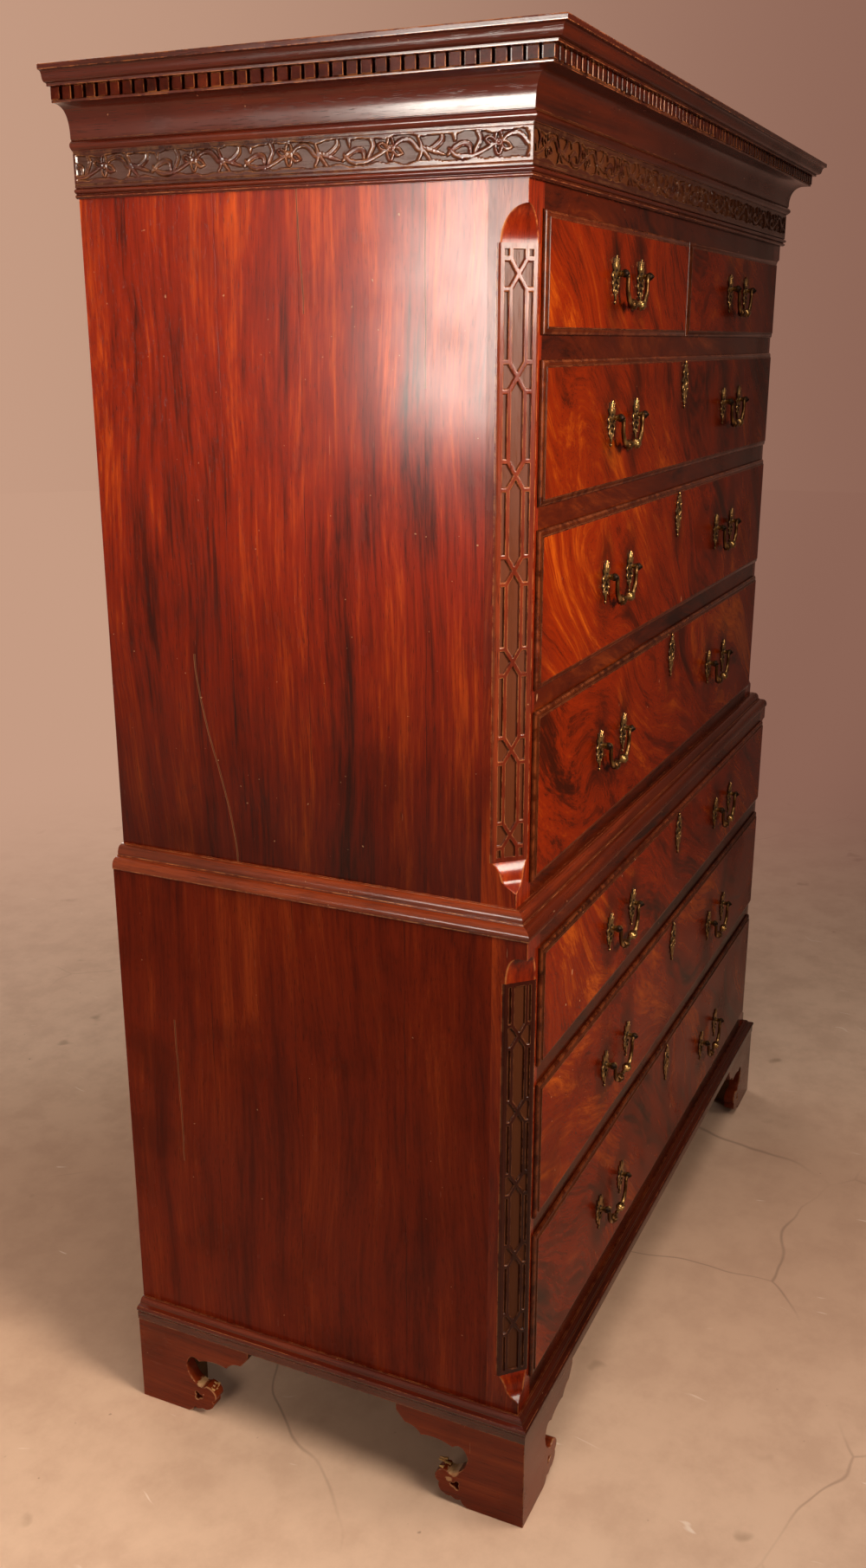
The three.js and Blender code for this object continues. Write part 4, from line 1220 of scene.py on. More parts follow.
def drawer_veneer(drawer, x0, x1, z0, z1):
    chance = random.Random(drawer)
    stains = [(x + shift, z - 6.0, 36.0) for x, z in handle_centres(drawer, x0, x1, z0, z1)
              for shift in (-HANDLE_HALF, HANDLE_HALF)]
    if not drawer.startswith("short"):
        stains.append(((x0 + x1) / 2, z1 - 42.0, 32.0))
    tones = FLAMES[chance.randrange(len(FLAMES))]
    lean = chance.choice(LEANS)
    shift = tuple(round(chance.uniform(-3, 3), 2) for _ in range(3))
    return wood(f"{drawer} veneer", "x", tones, flame_figure, coat=0.05, specular=0.03, bump=0.15, lean=lean,
                shift=shift, marks=stain_marks(stains))


def drawer_front(drawer, x0, x1, z0, z1, front):
    points, wear, hollow = [], [], []
    for inset, proud, worn_and_highlit, sunk in LIP:
        for x, z in ((x0 + inset, z0 + inset), (x1 - inset, z0 + inset), (x1 - inset, z1 - inset),
                     (x0 + inset, z1 - inset)):
            points.append((x, front - proud, z))
            wear.append(worn_and_highlit)
            hollow.append(sunk)
    finishes = [edge_finish, drawer_veneer(drawer, x0, x1, z0, z1)]
    board = piece(f"{drawer}_front_board", points, loft(len(LIP), 4), drawer, finishes, 24.0,
                  wear, hollow, (f"{drawer}_front",))
    facing = [p for p in board.data.polygons if p.normal.y < -0.9]
    field = max(facing, key=lambda p: p.area - p.center.y * 1000)
    field.material_index = 1


rows = [("short_left_drawer", -UPPER_DRAWER_HALF, -SHORT_GAP, *SHORT_ROW, UPPER_FRONT),
        ("short_right_drawer", SHORT_GAP, UPPER_DRAWER_HALF, *SHORT_ROW, UPPER_FRONT)]
for stage, levels, half, front in (("upper", UPPER_ROWS, UPPER_DRAWER_HALF, UPPER_FRONT),
                                   ("lower", LOWER_ROWS, LOWER_DRAWER_HALF, LOWER_FRONT)):
    rows += [(f"{stage}_drawer_{n + 1}", -half, half, *row, front) for n, row in enumerate(levels)]
for row in rows:
    drawer_front(*row)
print("fronts", len(rows))


# %% [markdown]
# ## Old brass
# Cast brass goes brown in the hollows and stays bright where hands rub it. One level decides both the colour
# and the roughness, so a bright place is a smooth one too, as it is on the real plates.

# %% Old brass
def old_brass(name, bright, dull, roughness, shift):
    material, nodes, shader = new_material(name)
    place = nodes.moved(nodes.add("TexCoord").outputs["Object"], shift)
    cloud = nodes.noise(place, 60.0, detail=4)
    grit = nodes.noise(place, 700.0, detail=3, roughness=0.7)
    level = nodes.weighed((cloud, nodes.attribute("wear")), (0.8, 0.45))
    level = nodes.minus(level, nodes.times(nodes.attribute("hollow"), 0.9))
    colour = nodes.mix(nodes.ease(level, 0.34, 0.66), tint(dull), tint(bright))
    colour = nodes.mix(nodes.times(nodes.ease(grit, 0.58, 0.70), 0.5), colour, tint("24140a"))
    relief = nodes.add("Bump", {"Strength": 0.5, "Distance": 0.0004, "Height": nodes.plus(cloud, grit)})
    nodes.give(shader, {"Base Color": colour, "Normal": relief.outputs[0],
                        "Roughness": nodes.ease(level, 0.2, 0.8, roughness + 0.22, roughness)})
    shader.inputs["Metallic"].default_value = 0.9
    return material


plate_brass = old_brass("plate brass", "a87e48", "180c05", 0.26, (0.0, 0.0, 0.0))
bail_brass = old_brass("bail brass", "e6b66e", "4a2d12", 0.17, (0.5, 0.2, 0.1))
# The lock is near black: painted shade for the depth of the keyhole.
keyhole_shade_finish = old_brass("dark lock", "3a2c1c", "120c08", 0.5, (0.2, 0.4, 0.6))
print("brass ready")


# %% [markdown]
# ## Cast plates
# A handle plate is a small cast spray of leaves, and every one came from the same pattern, so one mesh
# serves all twenty-eight. The leaves are raised as the carving is, mirrored left and right, and only the
# part of the grid that stands up is kept, which gives the plate its lobed outline. A hole, where there is
# one, is cut out of the heights and gets a raised rim.

# %% Cast plates
PLATE_BACK, CAST_STEP = 0.35, 0.6


def inside_loop(carving, loop):
    inside = np.zeros(carving.height.shape, dtype=bool)
    for (ax, ay), (bx, by) in zip(loop, loop[1:] + loop[:1]):
        crosses = (ay > carving.grid_v) != (by > carving.grid_v)
        with np.errstate(divide="ignore", invalid="ignore"):
            inside ^= crosses & (carving.grid_u < (bx - ax) * (carving.grid_v - ay) / (by - ay) + ax)
    return inside


def cast_relief(name, strokes, half_width, low, high, hole=None):
    """Leaves and scrolls as a raised sheet; outside them it dips just under the drawer's face."""
    carving = Carving(-half_width, half_width, low, high, CAST_STEP)
    for path, widths, top, scoop in strokes:
        for side in (-1, 1):
            carving.stroke([(side * a + 0.25 * math.sin(b), b) for a, b in path], widths, top, 1.1, scoop)
    if hole:
        rim = carving.distance(hole + hole[:1], [0.0] * (len(hole) + 1), ...)
        carving.lift(2.3 * np.clip(1.6 - np.abs(rim - 0.9), 0, 1))
        carving.height[inside_loop(carving, hole)] = 0.0
    h = carving.height
    keep = np.maximum.reduce([h[:-1, :-1], h[1:, :-1], h[1:, 1:], h[:-1, 1:]]) > 0.02
    corners = grid_faces(*h.shape)[1][keep]
    used, places = np.unique(corners, return_inverse=True)
    u, v, deep = (array.ravel()[used] for array in (carving.grid_u, carving.grid_v, h))
    points = [(a, PLATE_BACK - c, b) for a, b, c in zip(u, v, deep)]
    return make_mesh(name, points, places.reshape(corners.shape).tolist(), plate_brass, 60.0,
                     np.clip(deep - 1.5, 0, 1), np.clip(1.5 - deep, 0, 1))


PLATE = [
    ([(0, -26), (0, -14), (0, -4), (0, 7)], (1.4, 4.2, 6.6, 4.4), 1.4, 0.0),
    ([(0, 3), (0, 12), (0, 21)], (2.2, 2.8, 0.4), 2.6, 0.5),
    ([(2.5, 4), (6.4, 11), (8.6, 18)], (2.0, 2.5, 0.4), 2.4, 0.5),
    ([(3.5, 2), (9, 6), (13.4, 11)], (1.8, 2.4, 0.4), 2.2, 0.5),
    ([(4, -1), (9, 1.2), (12.4, -1.4), (12, -5.4), (8.4, -6.6)], (1.5, 1.8, 1.7, 1.4, 1.2), 2.5, 0.3),
    ([(3, -7), (8, -8.4), (11.4, -12), (9, -16)], (1.5, 2.2, 1.8, 0.7), 2.3, 0.6),
    ([(2, -13), (6, -16), (7.8, -20), (5.4, -23)], (1.4, 1.8, 1.4, 0.6), 2.3, 0.5),
    ([(0, -20), (0, -25), (0, -30)], (2.4, 2.8, 0.8), 2.5, 0.4),
    ([(0, -33.2), (0, -34.4)], (1.9, 1.0), 2.5, 0.0),
]
plate_mesh = cast_relief("handle plate", PLATE, 16.0, -37.0, 22.5)
print("handle plate", len(plate_mesh.polygons), "faces")


# %% [markdown]
# ## Turned posts
# Each plate is held by a turned post, with a ball that takes the end of the bail. `tube` puts rings round a
# line, and a post is the simplest tube: a straight line with a radius at each depth.

# %% Turned posts
def tube(rings, sides):
    """Each ring is its centre, two directions across, its radius, and how deep its flutes are."""
    points = []
    for centre, across, up, radius, flute in rings:
        for k in range(sides):
            angle = 2 * math.pi * k / sides
            r = radius * (1 - flute * (0.5 + 0.5 * math.cos(angle * sides / 4)))
            points.append(tuple(np.array(centre) + r * (math.cos(angle) * np.array(across)
                                                        + math.sin(angle) * np.array(up))))
    return points, loft(len(rings), sides)


TURNED = [(0.0, 5.6), (1.6, 5.6), (2.6, 4.9), (3.0, 3.4), (4.4, 2.7), (6.4, 3.0), (7.6, 4.0), (8.2, 4.1),
          (8.8, 3.3), (9.6, 4.0), (10.8, 4.8), (12.6, 5.1), (14.6, 4.7), (16.2, 3.5), (16.9, 2.2), (17.6, 2.0),
          (18.4, 1.0), (18.7, 0.1)]
post_points, post_faces = tube([((0, -y, 0), (1, 0, 0), (0, 0, 1), r, 0.0) for y, r in TURNED], 20)
post_mesh = make_mesh("handle post", post_points, post_faces, plate_brass, 35.0)
print("handle post", len(post_faces), "faces")


# %% [markdown]
# ## Bails
# The bail is a cast swan neck: it swells and thins along its length, ends in pins that turn in the posts,
# and carries two reeded bosses that keep the fingers off the drawer. It is a tube along a smooth path, with
# the radius as a function of how far out it is.

# %% Bails
def bail_radius(a):
    a = abs(a)
    if a > 42:
        return 2.0 + 0.5 * math.exp(-((a - 44.0) / 0.9) ** 2)
    if a > 24:
        return 2.5 + 0.5 * math.sin(math.pi * (a - 24) / 18)
    rings = 1.1 * math.exp(-((a - 8.6) / 0.8) ** 2), 1.1 * math.exp(-((a - 25.0) / 0.8) ** 2)
    return 2.4 + 0.9 * math.exp(-(a / 2.4) ** 2) + rings[0] + rings[1]


BAIL_HALF = [(46.4, 0.0), (43.4, 0.0), (40.0, -4.2), (40.0, -13.3), (38.0, -22.4), (31.2, -31.5), (24.5, -34.6),
             (17.0, -35.0), (9.0, -34.7), (0.0, -34.6)]
bail_line = smooth_path(BAIL_HALF, 7)
bail_line += [(-a, b) for a, b in reversed(bail_line[:-1])]
bail_rings = []
for k, (a, b) in enumerate(bail_line):
    before, after = bail_line[max(k - 1, 0)], bail_line[min(k + 1, len(bail_line) - 1)]
    tangent = np.array((after[0] - before[0], 0.0, after[1] - before[1]))
    tangent /= np.linalg.norm(tangent)
    bail_rings.append(((a, 0.0, b), (0, 1, 0), tuple(np.cross((0, 1, 0), tangent)), bail_radius(a), 0.0))
bail_points, bail_faces = tube(bail_rings, 14)
BOSS_AT, BOSS_LONG, BOSS_WIDE = 17.0, 8.0, 6.6
for sign in (-1, 1):
    boss = []
    for k in range(17):
        t = -1 + 2 * k / 16
        wide = BOSS_WIDE * math.sqrt(max(0.0, 1 - t * t)) ** 0.8 + 0.3
        centre = (sign * BOSS_AT + BOSS_LONG * t, 0, -35.0)
        boss.append((centre, (0, 1, 0), (0, 0, 1), wide, 0.13 if abs(t) < 0.85 else 0.0))
    more_points, more_faces = tube(boss, 40)
    bail_faces += [tuple(i + len(bail_points) for i in face) for face in more_faces]
    bail_points += more_points
bail_mesh = make_mesh("swan-neck bail", bail_points, bail_faces, bail_brass, 40.0)
print("bail", len(bail_faces), "faces")


# %% [markdown]
# ## Hanging the handles
# The plates and posts ride on their drawer. The bail rides on its own body, which swings, so its mesh has
# its origin on the line of the pins.

# %% Hanging the handles
REACH = 13.0


def handle(drawer, node, x, z, face):
    for word, shift in (("a", -HANDLE_HALF), ("b", HANDLE_HALF)):
        dress(f"{node}_plate_{word}", plate_mesh, drawer, place=(x + shift, face, z))
        dress(f"{node}_post_{word}", post_mesh, drawer, place=(x + shift, face, z))
    dress(f"{node}_wire", bail_mesh, f"{node}_handle", (f"{node}_bail",), (x, face - REACH, z))


handles = 0
for drawer, x0, x1, z0, z1, front in rows:
    centres = handle_centres(drawer, x0, x1, z0, z1)
    for word, (x, level) in zip(("left", "right"), centres):
        handle(drawer, drawer if len(centres) == 1 else f"{drawer}_{word}", x, level, front - LIP_PROUD)
        handles += 1
print("handles", handles)

# %% [markdown]
# ## Keyhole plates
# A tall cast plate of leaf scrolls with a keyhole through it, made as the handle plates are. Behind the hole
# stands the lock: a shallow cup with the outline of the hole, painted near black as the shade in the keyhole.

# %% Keyhole plates
KEY_PLATE = [
    ([(0, 18), (0, 4), (0, -12)], (3.6, 6.4, 3.6), 1.4, 0.0),
    ([(0, 20), (0, 24), (0, 27.5)], (2.6, 2.2, 1.0), 2.4, 0.4),
    ([(0, 30.4), (0, 31.2)], (2.3, 2.3), 2.7, 0.2),
    ([(1.5, 19), (4.4, 23.5), (5.8, 28)], (1.6, 1.8, 0.4), 2.3, 0.4),
    ([(2, 19), (7, 20.6), (10, 17), (9, 12.6), (5.6, 12)], (1.5, 1.8, 1.7, 1.4, 1.1), 2.5, 0.3),
    ([(4.5, 11), (9.5, 9.4), (12.6, 5), (11, 0.6)], (1.5, 2.1, 1.8, 0.8), 2.3, 0.6),
    ([(4.5, -2), (9, -1), (12, -5), (10, -9.4), (6.4, -9.4)], (1.4, 1.8, 1.7, 1.4, 1.0), 2.5, 0.3),
    ([(3.6, -9), (7.6, -13), (7.4, -17.6), (4.4, -19.6)], (1.5, 1.9, 1.5, 0.6), 2.3, 0.5),
    ([(0, -12), (0, -19), (0, -27)], (3.2, 2.6, 0.9), 2.4, 0.5),
    ([(1.4, -19), (3.8, -23), (3.0, -27)], (1.3, 1.4, 0.5), 2.2, 0.3),
    ([(0, -30.6), (0, -32.6)], (2.0, 0.9), 2.6, 0.0),
]
HOLE_HALF = [(0, -8.4), (2.2, -8.2), (1.9, -4.0), (1.5, -0.6), (2.9, 1.2), (3.2, 3.4), (2.2, 5.4), (0, 6.2)]
LOCK_RINGS = ((1.25, -0.05), (1.25, -0.25), (0.6, -0.12))
KEYHOLE_DROP = 40.0

hole_half = smooth_path(HOLE_HALF, 5)
hole_loop = hole_half + [(-a, b) for a, b in reversed(hole_half) if abs(a) > 1e-6]
key_mesh = cast_relief("keyhole plate", KEY_PLATE, 16.0, -34.5, 34.0, hole_loop)
hole_points = [(a * s, y, b * s) for s, y in LOCK_RINGS for a, b in hole_loop]
hole_faces = loft(len(LOCK_RINGS), len(hole_loop), first_cap=False)
keyhole_shade_mesh = make_mesh("lock behind the keyhole", hole_points, hole_faces, keyhole_shade_finish, 40.0)
locked = [row for row in rows if not row[0].startswith("short")]
for drawer, x0, x1, z0, z1, front in locked:
    middle = ((x0 + x1) / 2, front - LIP_PROUD, z1 - KEYHOLE_DROP)
    dress(f"{drawer}_keyhole_plate", key_mesh, drawer, place=middle)
    dress(f"{drawer}_lock", keyhole_shade_mesh, drawer, place=middle)
print("keyhole plates", len(locked))


# %% [markdown]
# ## Outline of a bracket
# A front foot is two flat boards with a scrolled edge and a small pierced eye, mitred at the corner; a back
# foot has one such board, at the side. The scroll is drawn as a share of the board, from the corner at u = 0
# to the tip of the wing at u = 1, and from the floor at v = 0 up to the case. On the real foot it was cut
# with a fret saw, so it is a chain of short curves. `inset_loop` moves an outline inward, which gives the
# sawn edge a small bevel.

# %% Outline of a bracket
SCROLL = [(0.0, 0.0), (0.43, 0.0)]
for control, end, steps in (
        ((0.47, 0.02), (0.485, 0.075), 3), ((0.52, 0.045), (0.56, 0.085), 4),
        ((0.60, 0.06), (0.645, 0.12), 4), ((0.675, 0.17), (0.655, 0.215), 4),
        ((0.70, 0.235), (0.685, 0.31), 4), ((0.655, 0.385), (0.60, 0.385), 5),
        ((0.575, 0.34), (0.535, 0.375), 4), ((0.45, 0.43), (0.43, 0.60), 7),
        ((0.465, 0.78), (0.55, 0.685), 7), ((0.68, 0.76), (0.8, 0.71), 8), ((0.84, 0.8), (0.93, 0.8), 7)):
    SCROLL += bend(SCROLL[-1], control, end, steps)[1:]
SCROLL += [(1.0, 0.92), (1.0, 1.0), (0.0, 1.0)]


def eye_point(angle):
    lobe = 1 + 0.35 * math.cos(3 * angle)
    return (0.525 + 0.030 * math.cos(angle) * lobe, 0.235 + 0.042 * math.sin(angle) * lobe)


EYE = [eye_point(angle) for angle in np.linspace(0, 2 * math.pi, 21, endpoint=False)]


def inset_loop(loop, amount):
    if not amount:
        return loop
    way = 1 if signed_area(loop) > 0 else -1
    out = []
    for i, here in enumerate(loop):
        before, after = np.array(loop[i - 1]), np.array(loop[(i + 1) % len(loop)])
        sides = np.array(here) - before, after - np.array(here)
        normals = [np.array((-d[1], d[0])) / max(np.linalg.norm(d), 1e-6) for d in sides]
        n = normals[0] + normals[1]
        out.append(tuple(np.array(here) + n / max(np.linalg.norm(n), 0.5) * amount * way))
    return out


print("scroll", len(SCROLL), "points, eye", len(EYE))


# %% [markdown]
# ## Bracket boards
# `fretted` makes a pierced board: rings of points round the scroll and round the eye, each with its depth,
# its inset and how much its arris is painted paler, as wear and as painted highlight, in `EDGE_RINGS`, and a
# flat face and back between them. A face with a hole in it can't be one polygon, so Blender's own tessellation
# cuts it into triangles. On the mitre the boards are cut back by their depth, so that they meet and don't
# overlap.

# %% Bracket boards
WING, FOOT_REACH, FOOT_THICK, FOOT_BLOCK = 190.0, 16.0, 20.0, 50.0
OUTER_X, FACE_Y = LOWER_HALF + FOOT_REACH, LOWER_FRONT - FOOT_REACH
EDGE_RINGS = [(0.0, 1.6, 0.0), (0.0, 0.7, 1.0), (0.05, 0.0, 0.9), (0.12, 0.0, 0.0), (1.0, 0.0, 0.0)]
foot_loop, eye_loop = ([(u * WING, v * FOOT_Z) for u, v in loop] for loop in (SCROLL, EYE))


def fretted(name, place, finish, foot):
    """A bracket board. place(u, v, depth) puts a point; depth 0 is the face, 1 the back."""
    points, faces, wear = [], [], []
    starts, insets = [], []
    for loop, sign in ((foot_loop, 1.0), (eye_loop, -1.0)):
        count = len(loop)
        starts.append([])
        insets.append([inset_loop(loop, sign * inset) for _, inset, _ in EDGE_RINGS])
        for (depth, _, worn_and_highlit), ring in zip(EDGE_RINGS, insets[-1]):
            starts[-1].append(len(points))
            points += [place(u, v, depth) for u, v in ring]
            wear += [worn_and_highlit] * count
        for a, b in zip(starts[-1], starts[-1][1:]):
            faces += [(a + i, a + (i + 1) % count, b + (i + 1) % count, b + i) for i in range(count)]
    for r in (0, len(EDGE_RINGS) - 1):
        flat = [[Vector((*p, 0.0)) for p in rings[r]] for rings in insets]
        index = [begin[r] + k for begin, loop in zip(starts, flat) for k in range(len(loop))]
        faces += [tuple(index[k] for k in triangle) for triangle in tessellate_polygon(flat)]
    return piece(name, points, faces, CARCASE, finish, 30.0, wear, replaced=(foot,))


def side_place(sign, start, along):
    def place(u, v, depth):
        u = max(u, depth * FOOT_THICK)
        return (sign * (OUTER_X - depth * FOOT_THICK), start + along * u, v)
    return place


def front_place(sign):
    def place(u, v, depth):
        u = max(u, depth * FOOT_THICK)
        return (sign * (OUTER_X - u), FACE_Y + depth * FOOT_THICK, v)
    return place


print("bracket helper ready")


# %% [markdown]
# ## Bracket feet
# The brackets alone could not carry the chest. Glue blocks stand behind them, one in each corner, and a
# plain board closes each back foot, where nobody looks.

# %% Bracket feet
def blocks_behind(name, sign, x0, x1, each, material, replaced):
    """Plain blocks from x0 to x1. Each has its front, back and underside, the cut of its arrises, its tilt."""
    blocks = Blocks()
    low_x, high_x = sorted((sign * x0, sign * x1))
    for y0, y1, z, cut, tilt in each:
        blocks.add((low_x, y0, z), (high_x, y1, FOOT_Z), cut, tilt)
    blocks.build(name, material, replaced)


INNER_X, INNER_FRONT, INNER_BACK = OUTER_X - FOOT_THICK, FACE_Y + FOOT_THICK, BACK - FOOT_THICK
BACK_BOARD_LONG = 120.0
BACK_BOARD = [(INNER_BACK, BACK - 0.2, 0.5, 0.8, 0.0)]
GLUE_BLOCKS = [(INNER_FRONT - 0.2, INNER_FRONT + FOOT_BLOCK, 1.0, 1.2, 0.004),
               (INNER_BACK - FOOT_BLOCK, INNER_BACK + 0.2, 1.0, 1.2, -0.004)]
for side, sign, finish in (("left", -1, chipped_foot), ("right", 1, foot_y)):
    front_foot, back_foot = f"front_{side}_foot", f"back_{side}_foot"
    fretted(f"{front_foot}_side", side_place(sign, FACE_Y, 1), finish, front_foot)
    fretted(f"{front_foot}_front", front_place(sign), foot_x, front_foot)
    fretted(f"{back_foot}_side", side_place(sign, BACK, -1), finish, back_foot)
    blocks_behind(f"{back_foot}_back", sign, INNER_X, OUTER_X - BACK_BOARD_LONG, BACK_BOARD, foot_x,
                  (back_foot,))
    blocks_behind(f"{side}_foot_blocks", sign, INNER_X + 0.2, INNER_X - FOOT_BLOCK, GLUE_BLOCKS, plain_boards,
                  (front_foot, back_foot))
print("feet", 4)


# %% [markdown]
# ## Broken tips
# Both left feet have lost the tips of their scrolls, and torn pale fibres stand out of the break. They are
# thin wedges along the grain, each a little different.

# %% Broken tips
WEDGE = ((0, 0, 0), (0, 1, 0.1), (0, 1, 0.9), (0, 0, 1), (1, 0.3, 0.2), (1, 0.6, 0.4), (1, 0.5, 0.8))
WEDGE_FACES = ((0, 1, 2, 3), (4, 6, 5), (0, 4, 5, 1), (1, 5, 2), (2, 5, 6), (2, 6, 3), (3, 6, 4), (3, 4, 0))


def splinters(name, foot, y, z, count, seed):
    lot = random.Random(seed)
    points, faces = [], []
    for _ in range(count):
        x = -OUTER_X + lot.uniform(1.5, FOOT_THICK - 3.0)
        y0, z0 = y + lot.uniform(-7.0, 5.0), z + lot.uniform(-5.0, 4.0)
        long, high, thick = lot.uniform(5.0, 11.0), lot.uniform(1.4, 3.2), lot.uniform(2.0, 4.5)
        lean = lot.uniform(-1.5, 1.5)
        faces += [tuple(len(points) + i for i in face) for face in WEDGE_FACES]
        points += [(x + a * thick, y0 + b * long, z0 + c * high + (lean if b else 0.0)) for b, c, a in WEDGE]
    return piece(name, points, faces, CARCASE, broken_wood, 20.0, replaced=(foot,))


splinters("front_left_foot_break", "front_left_foot", FACE_Y + 0.615 * WING, 0.375 * FOOT_Z, 9, 3)
splinters("front_left_foot_chip", "front_left_foot", FACE_Y + 0.545 * WING, 0.235 * FOOT_Z, 5, 5)
splinters("back_left_foot_break", "back_left_foot", BACK - 0.640 * WING, 0.355 * FOOT_Z, 9, 9)
print("broken tips", 3)


# %% [markdown]
# ## Surroundings
# The studio wall is pale on the left and darker on the right: painted light, as the lamps light it from the
# left. It is not built: its colour is worked out from the direction of view, and the floor fades into it. The
# camera sees that colour at full strength, and so do the rays that metal and polish send back; all other
# light from it is dim, so that the lamps shape the wood.

# %% Surroundings
def surroundings(nodes, direction):
    unit = nodes.add("VectorMath", {0: direction}, operation="NORMALIZE").outputs[0]
    parts = nodes.axes(unit)
    left = nodes.weighed((parts["X"], parts["Y"]), (-0.42, 0.91))
    # painted light: the wall is paler to the left, where the light falls on it
    colour = nodes.mix(nodes.ease(left, -0.35, 0.35), tint("8c6455"), tint("c69c84"))
    return nodes.mix(nodes.ease(parts["Y"], -0.45, 0.05, 1.0, 0.0), colour, tint("543d33"))


def seen_rays(nodes):
    """1 for the camera's rays and for those that metal or polish sends back, 0 for all others."""
    rays = nodes.add("LightPath").outputs
    return nodes.most(nodes.most(rays["Is Camera Ray"], rays["Is Glossy Ray"]), rays["Is Transmission Ray"])


world = bpy.data.worlds.new("surroundings")
world.use_nodes = True
bpy.context.scene.world = world
nodes = Graph(world.node_tree)
for node in list(world.node_tree.nodes):
    world.node_tree.nodes.remove(node)
direction = nodes.add("TexCoord").outputs["Generated"]
seen = nodes.add("Background", {"Color": surroundings(nodes, direction), "Strength": 1.0}).outputs[0]
dim = nodes.add("Background", {"Color": tint("8d7768"), "Strength": 0.30}).outputs[0]
mixed = nodes.add("MixShader", {0: seen_rays(nodes), 1: dim, 2: seen}).outputs[0]
nodes.join(mixed, nodes.add("OutputWorld").inputs["Surface"])
print("surroundings ready")

# %% [markdown]
# ## Floor
# A broad flat disc, finer near the chest.

# %% Floor
SPOKES, RADII = 96, [0.5, 1.0, 1.6, 2.4, 3.6, 5.5, 9.0, 14.0]
rim = [(math.cos(2 * math.pi * k / SPOKES), math.sin(2 * math.pi * k / SPOKES)) for k in range(SPOKES)]
floor_points = [(0.0, 0.0, 0.0)] + [(r * a, r * b, 0.0) for r in RADII for a, b in rim]
floor_faces = [(0, 1 + k, 1 + (k + 1) % SPOKES) for k in range(SPOKES)]
for r in range(len(RADII) - 1):
    near, far = 1 + r * SPOKES, 1 + (r + 1) * SPOKES
    floor_faces += [(near + k, far + k, far + (k + 1) % SPOKES, near + (k + 1) % SPOKES) for k in range(SPOKES)]
floor_mesh = bpy.data.meshes.new("floor")
floor_mesh.from_pydata(floor_points, [], floor_faces)
floor = bpy.data.objects.new("floor", floor_mesh)
bpy.context.collection.objects.link(floor)
print("floor", len(floor_faces), "faces")

# %% [markdown]
# ## Floor paint
# Studio floors are walked on: the pale paint is mottled, stained, scuffed and specked, with hairline cracks.
# It is painted paler behind the chest, as painted light, and a little paler towards the camera than round the
# chest. Far out the floor glows with the painted colour of the surroundings, so that no edge shows from any
# side.

# %% Floor paint
floor_material, nodes, shader = new_material("pale floor")
place = nodes.add("TexCoord").outputs["Object"]
parts = nodes.axes(place)
away = nodes.weighed((parts["X"], parts["Y"]), (0.908, 0.419))
cloud = nodes.noise(place, 1.6, detail=4)
paint = nodes.mix(nodes.ease(away, -0.9, -0.1), tint("dcb89c"), tint("cca488"))
# painted light: paler paint behind the chest
paint = nodes.mix(nodes.ease(away, 0.1, 0.7), paint, tint("e6c2a6"))
paint = nodes.mix(nodes.times(cloud, 0.18), paint, tint("9c7a62"))
mottle = nodes.noise(place, 9.0, detail=6, roughness=0.65)
paint = nodes.mix(nodes.ease(mottle, 0.35, 0.7, 0.0, 0.34), paint, tint("a8826a"))
stain = nodes.noise(nodes.moved(place, (0.7, 0.2, 0.0)), 7.0, detail=3)
paint = nodes.mix(nodes.ease(stain, 0.67, 0.73, 0.0, 0.45), paint, tint("7c6248"))
scuffed = nodes.moved(place, nodes.scaled(nodes.noise(place, 3.0, output="Color"), (0.25, 0.25, 0.0)))
scuff = nodes.noise(nodes.scaled(scuffed, (60.0, 9.0, 1.0)), detail=2)
paint = nodes.mix(nodes.ease(scuff, 0.72, 0.77, 0.0, 0.5), paint, tint("f4e0cc"))
warped = nodes.moved(place, nodes.scaled(nodes.noise(place, 2.0, detail=3, output="Color"), (0.3, 0.3, 0.0)))
crack = nodes.add("TexVoronoi", {"Vector": warped, "Scale": 1.1}, feature="DISTANCE_TO_EDGE").outputs[0]
hair = nodes.times(nodes.ease(crack, 0.0, 0.0035, 1.0, 0.0), nodes.ease(cloud, 0.45, 0.6))
speck = nodes.ease(nodes.noise(place, 55.0, detail=1), 0.78, 0.82)
paint = nodes.mix(nodes.times(nodes.most(hair, speck), 0.5), paint, tint("6e5342"))
nodes.give(shader, {"Base Color": paint, "Roughness": nodes.ease(cloud, 0.3, 0.7, 0.75, 0.9)})
shader.inputs["Specular IOR Level"].default_value = 0.2
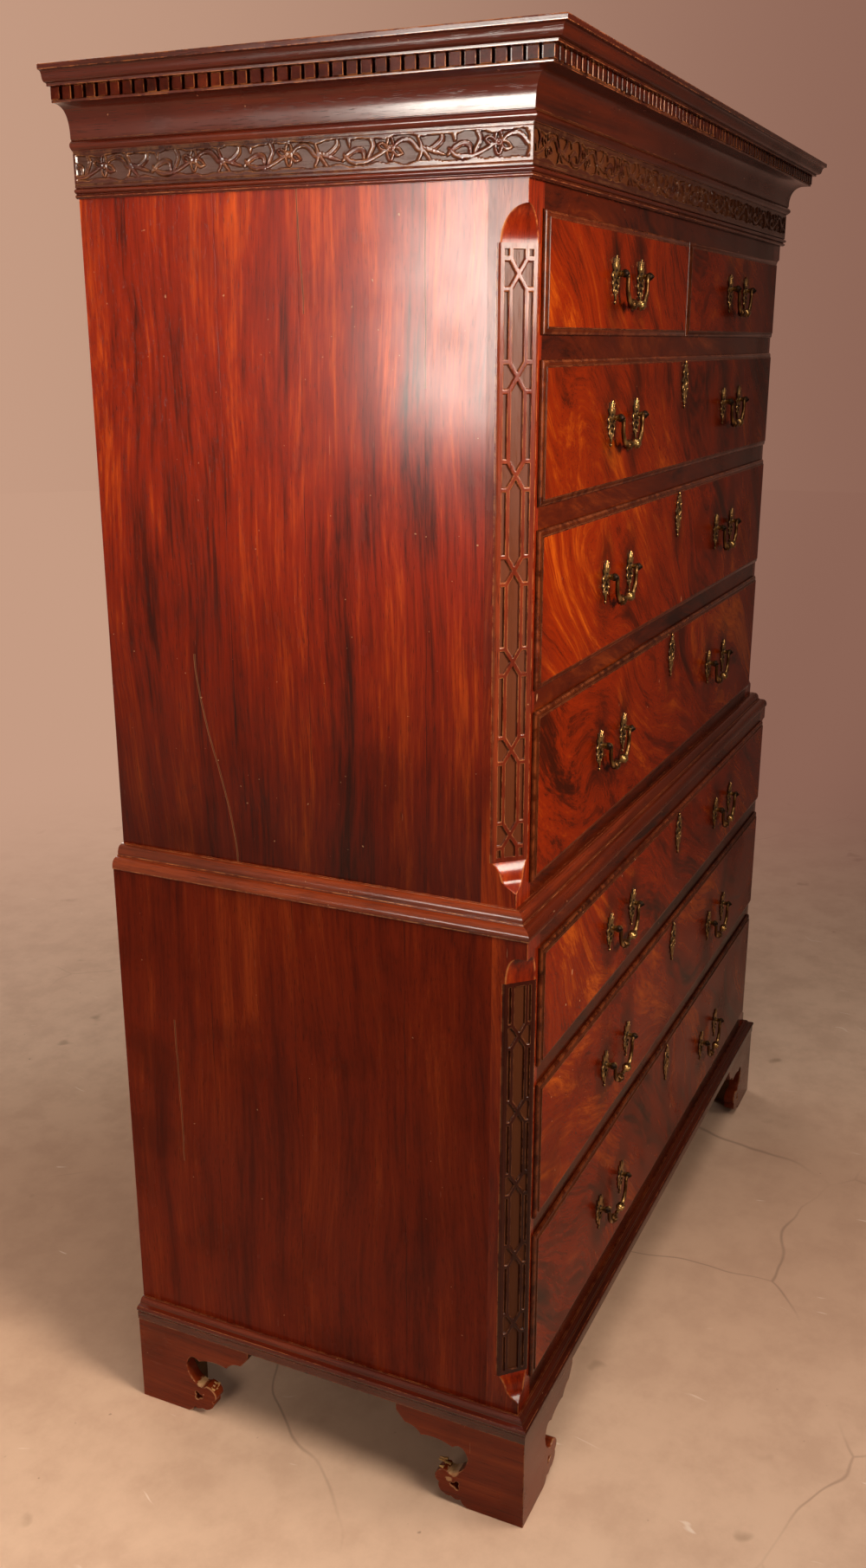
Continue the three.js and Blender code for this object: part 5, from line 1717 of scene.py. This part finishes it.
# far out the floor glows with the painted colour of the surroundings, though it is no lamp
bright = nodes.plus(nodes.times(seen_rays(nodes), 0.88), 0.12)
glow = nodes.add("Emission", {"Color": surroundings(nodes, place), "Strength": bright}).outputs[0]
fade = nodes.ease(nodes.reach(place), 0.8, 3.2)
blend = nodes.add("MixShader", {0: fade, 1: shader.outputs[0], 2: glow}).outputs[0]
nodes.join(blend, floor_material.node_tree.nodes["Material Output"].inputs["Surface"])
floor_mesh.materials.append(floor_material)
print("floor paint", len(floor_material.node_tree.nodes), "nodes")


# %% [markdown]
# ## Light
# Six soft panels, as large white sheets with a lamp behind them. The side panel stands at the back left and
# gives the bright sheen on the upper side; a narrow spread keeps it tight. The softbox lights the front from
# the left, two panels light the floor, and two dim ones, high up and on the far side, fill the shadows.

# %% Light
def panel(name, place, target, size, power, colour, spread):
    data = bpy.data.lights.new(name, "AREA")
    data.shape = "RECTANGLE"
    data.size, data.size_y = size
    data.energy = power
    data.color = colour
    data.spread = math.radians(spread)
    light = bpy.data.objects.new(name, data)
    light.location = place
    light.rotation_euler = (Vector(target) - Vector(place)).to_track_quat("-Z", "Y").to_euler()
    light.visible_camera = False
    bpy.context.collection.objects.link(light)


WARM = (1.0, 0.92, 0.82)
panel("side panel", (-3.6, 0.85, 1.86), (-0.6, -0.1, 2.05), (0.9, 1.2), 7.8, WARM, 40.0)
panel("left floor panel", (-3.2, 0.1, 1.7), (-0.7, 0.9, 0.0), (1.0, 0.8), 4.4, WARM, 55.0)
panel("right floor panel", (0.2, -2.6, 2.2), (-0.6, -1.15, 0.0), (1.0, 1.0), 7.0, WARM, 60.0)
panel("front softbox", (-0.98, -1.75, 1.9), (-0.75, -0.3, 1.35), (0.7, 0.7), 17.4, (1.0, 0.91, 0.78), 72.0)
panel("high fill", (-0.8, -0.6, 3.7), (-0.6, -0.4, 0.3), (1.6, 1.6), 39.0, (1.0, 0.94, 0.88), 150.0)
panel("far side fill", (2.5, 2.7, 2.2), (0.4, 0.0, 0.9), (1.6, 1.6), 36.0, (1.0, 0.95, 0.9), 180.0)
print("stage and lights ready")
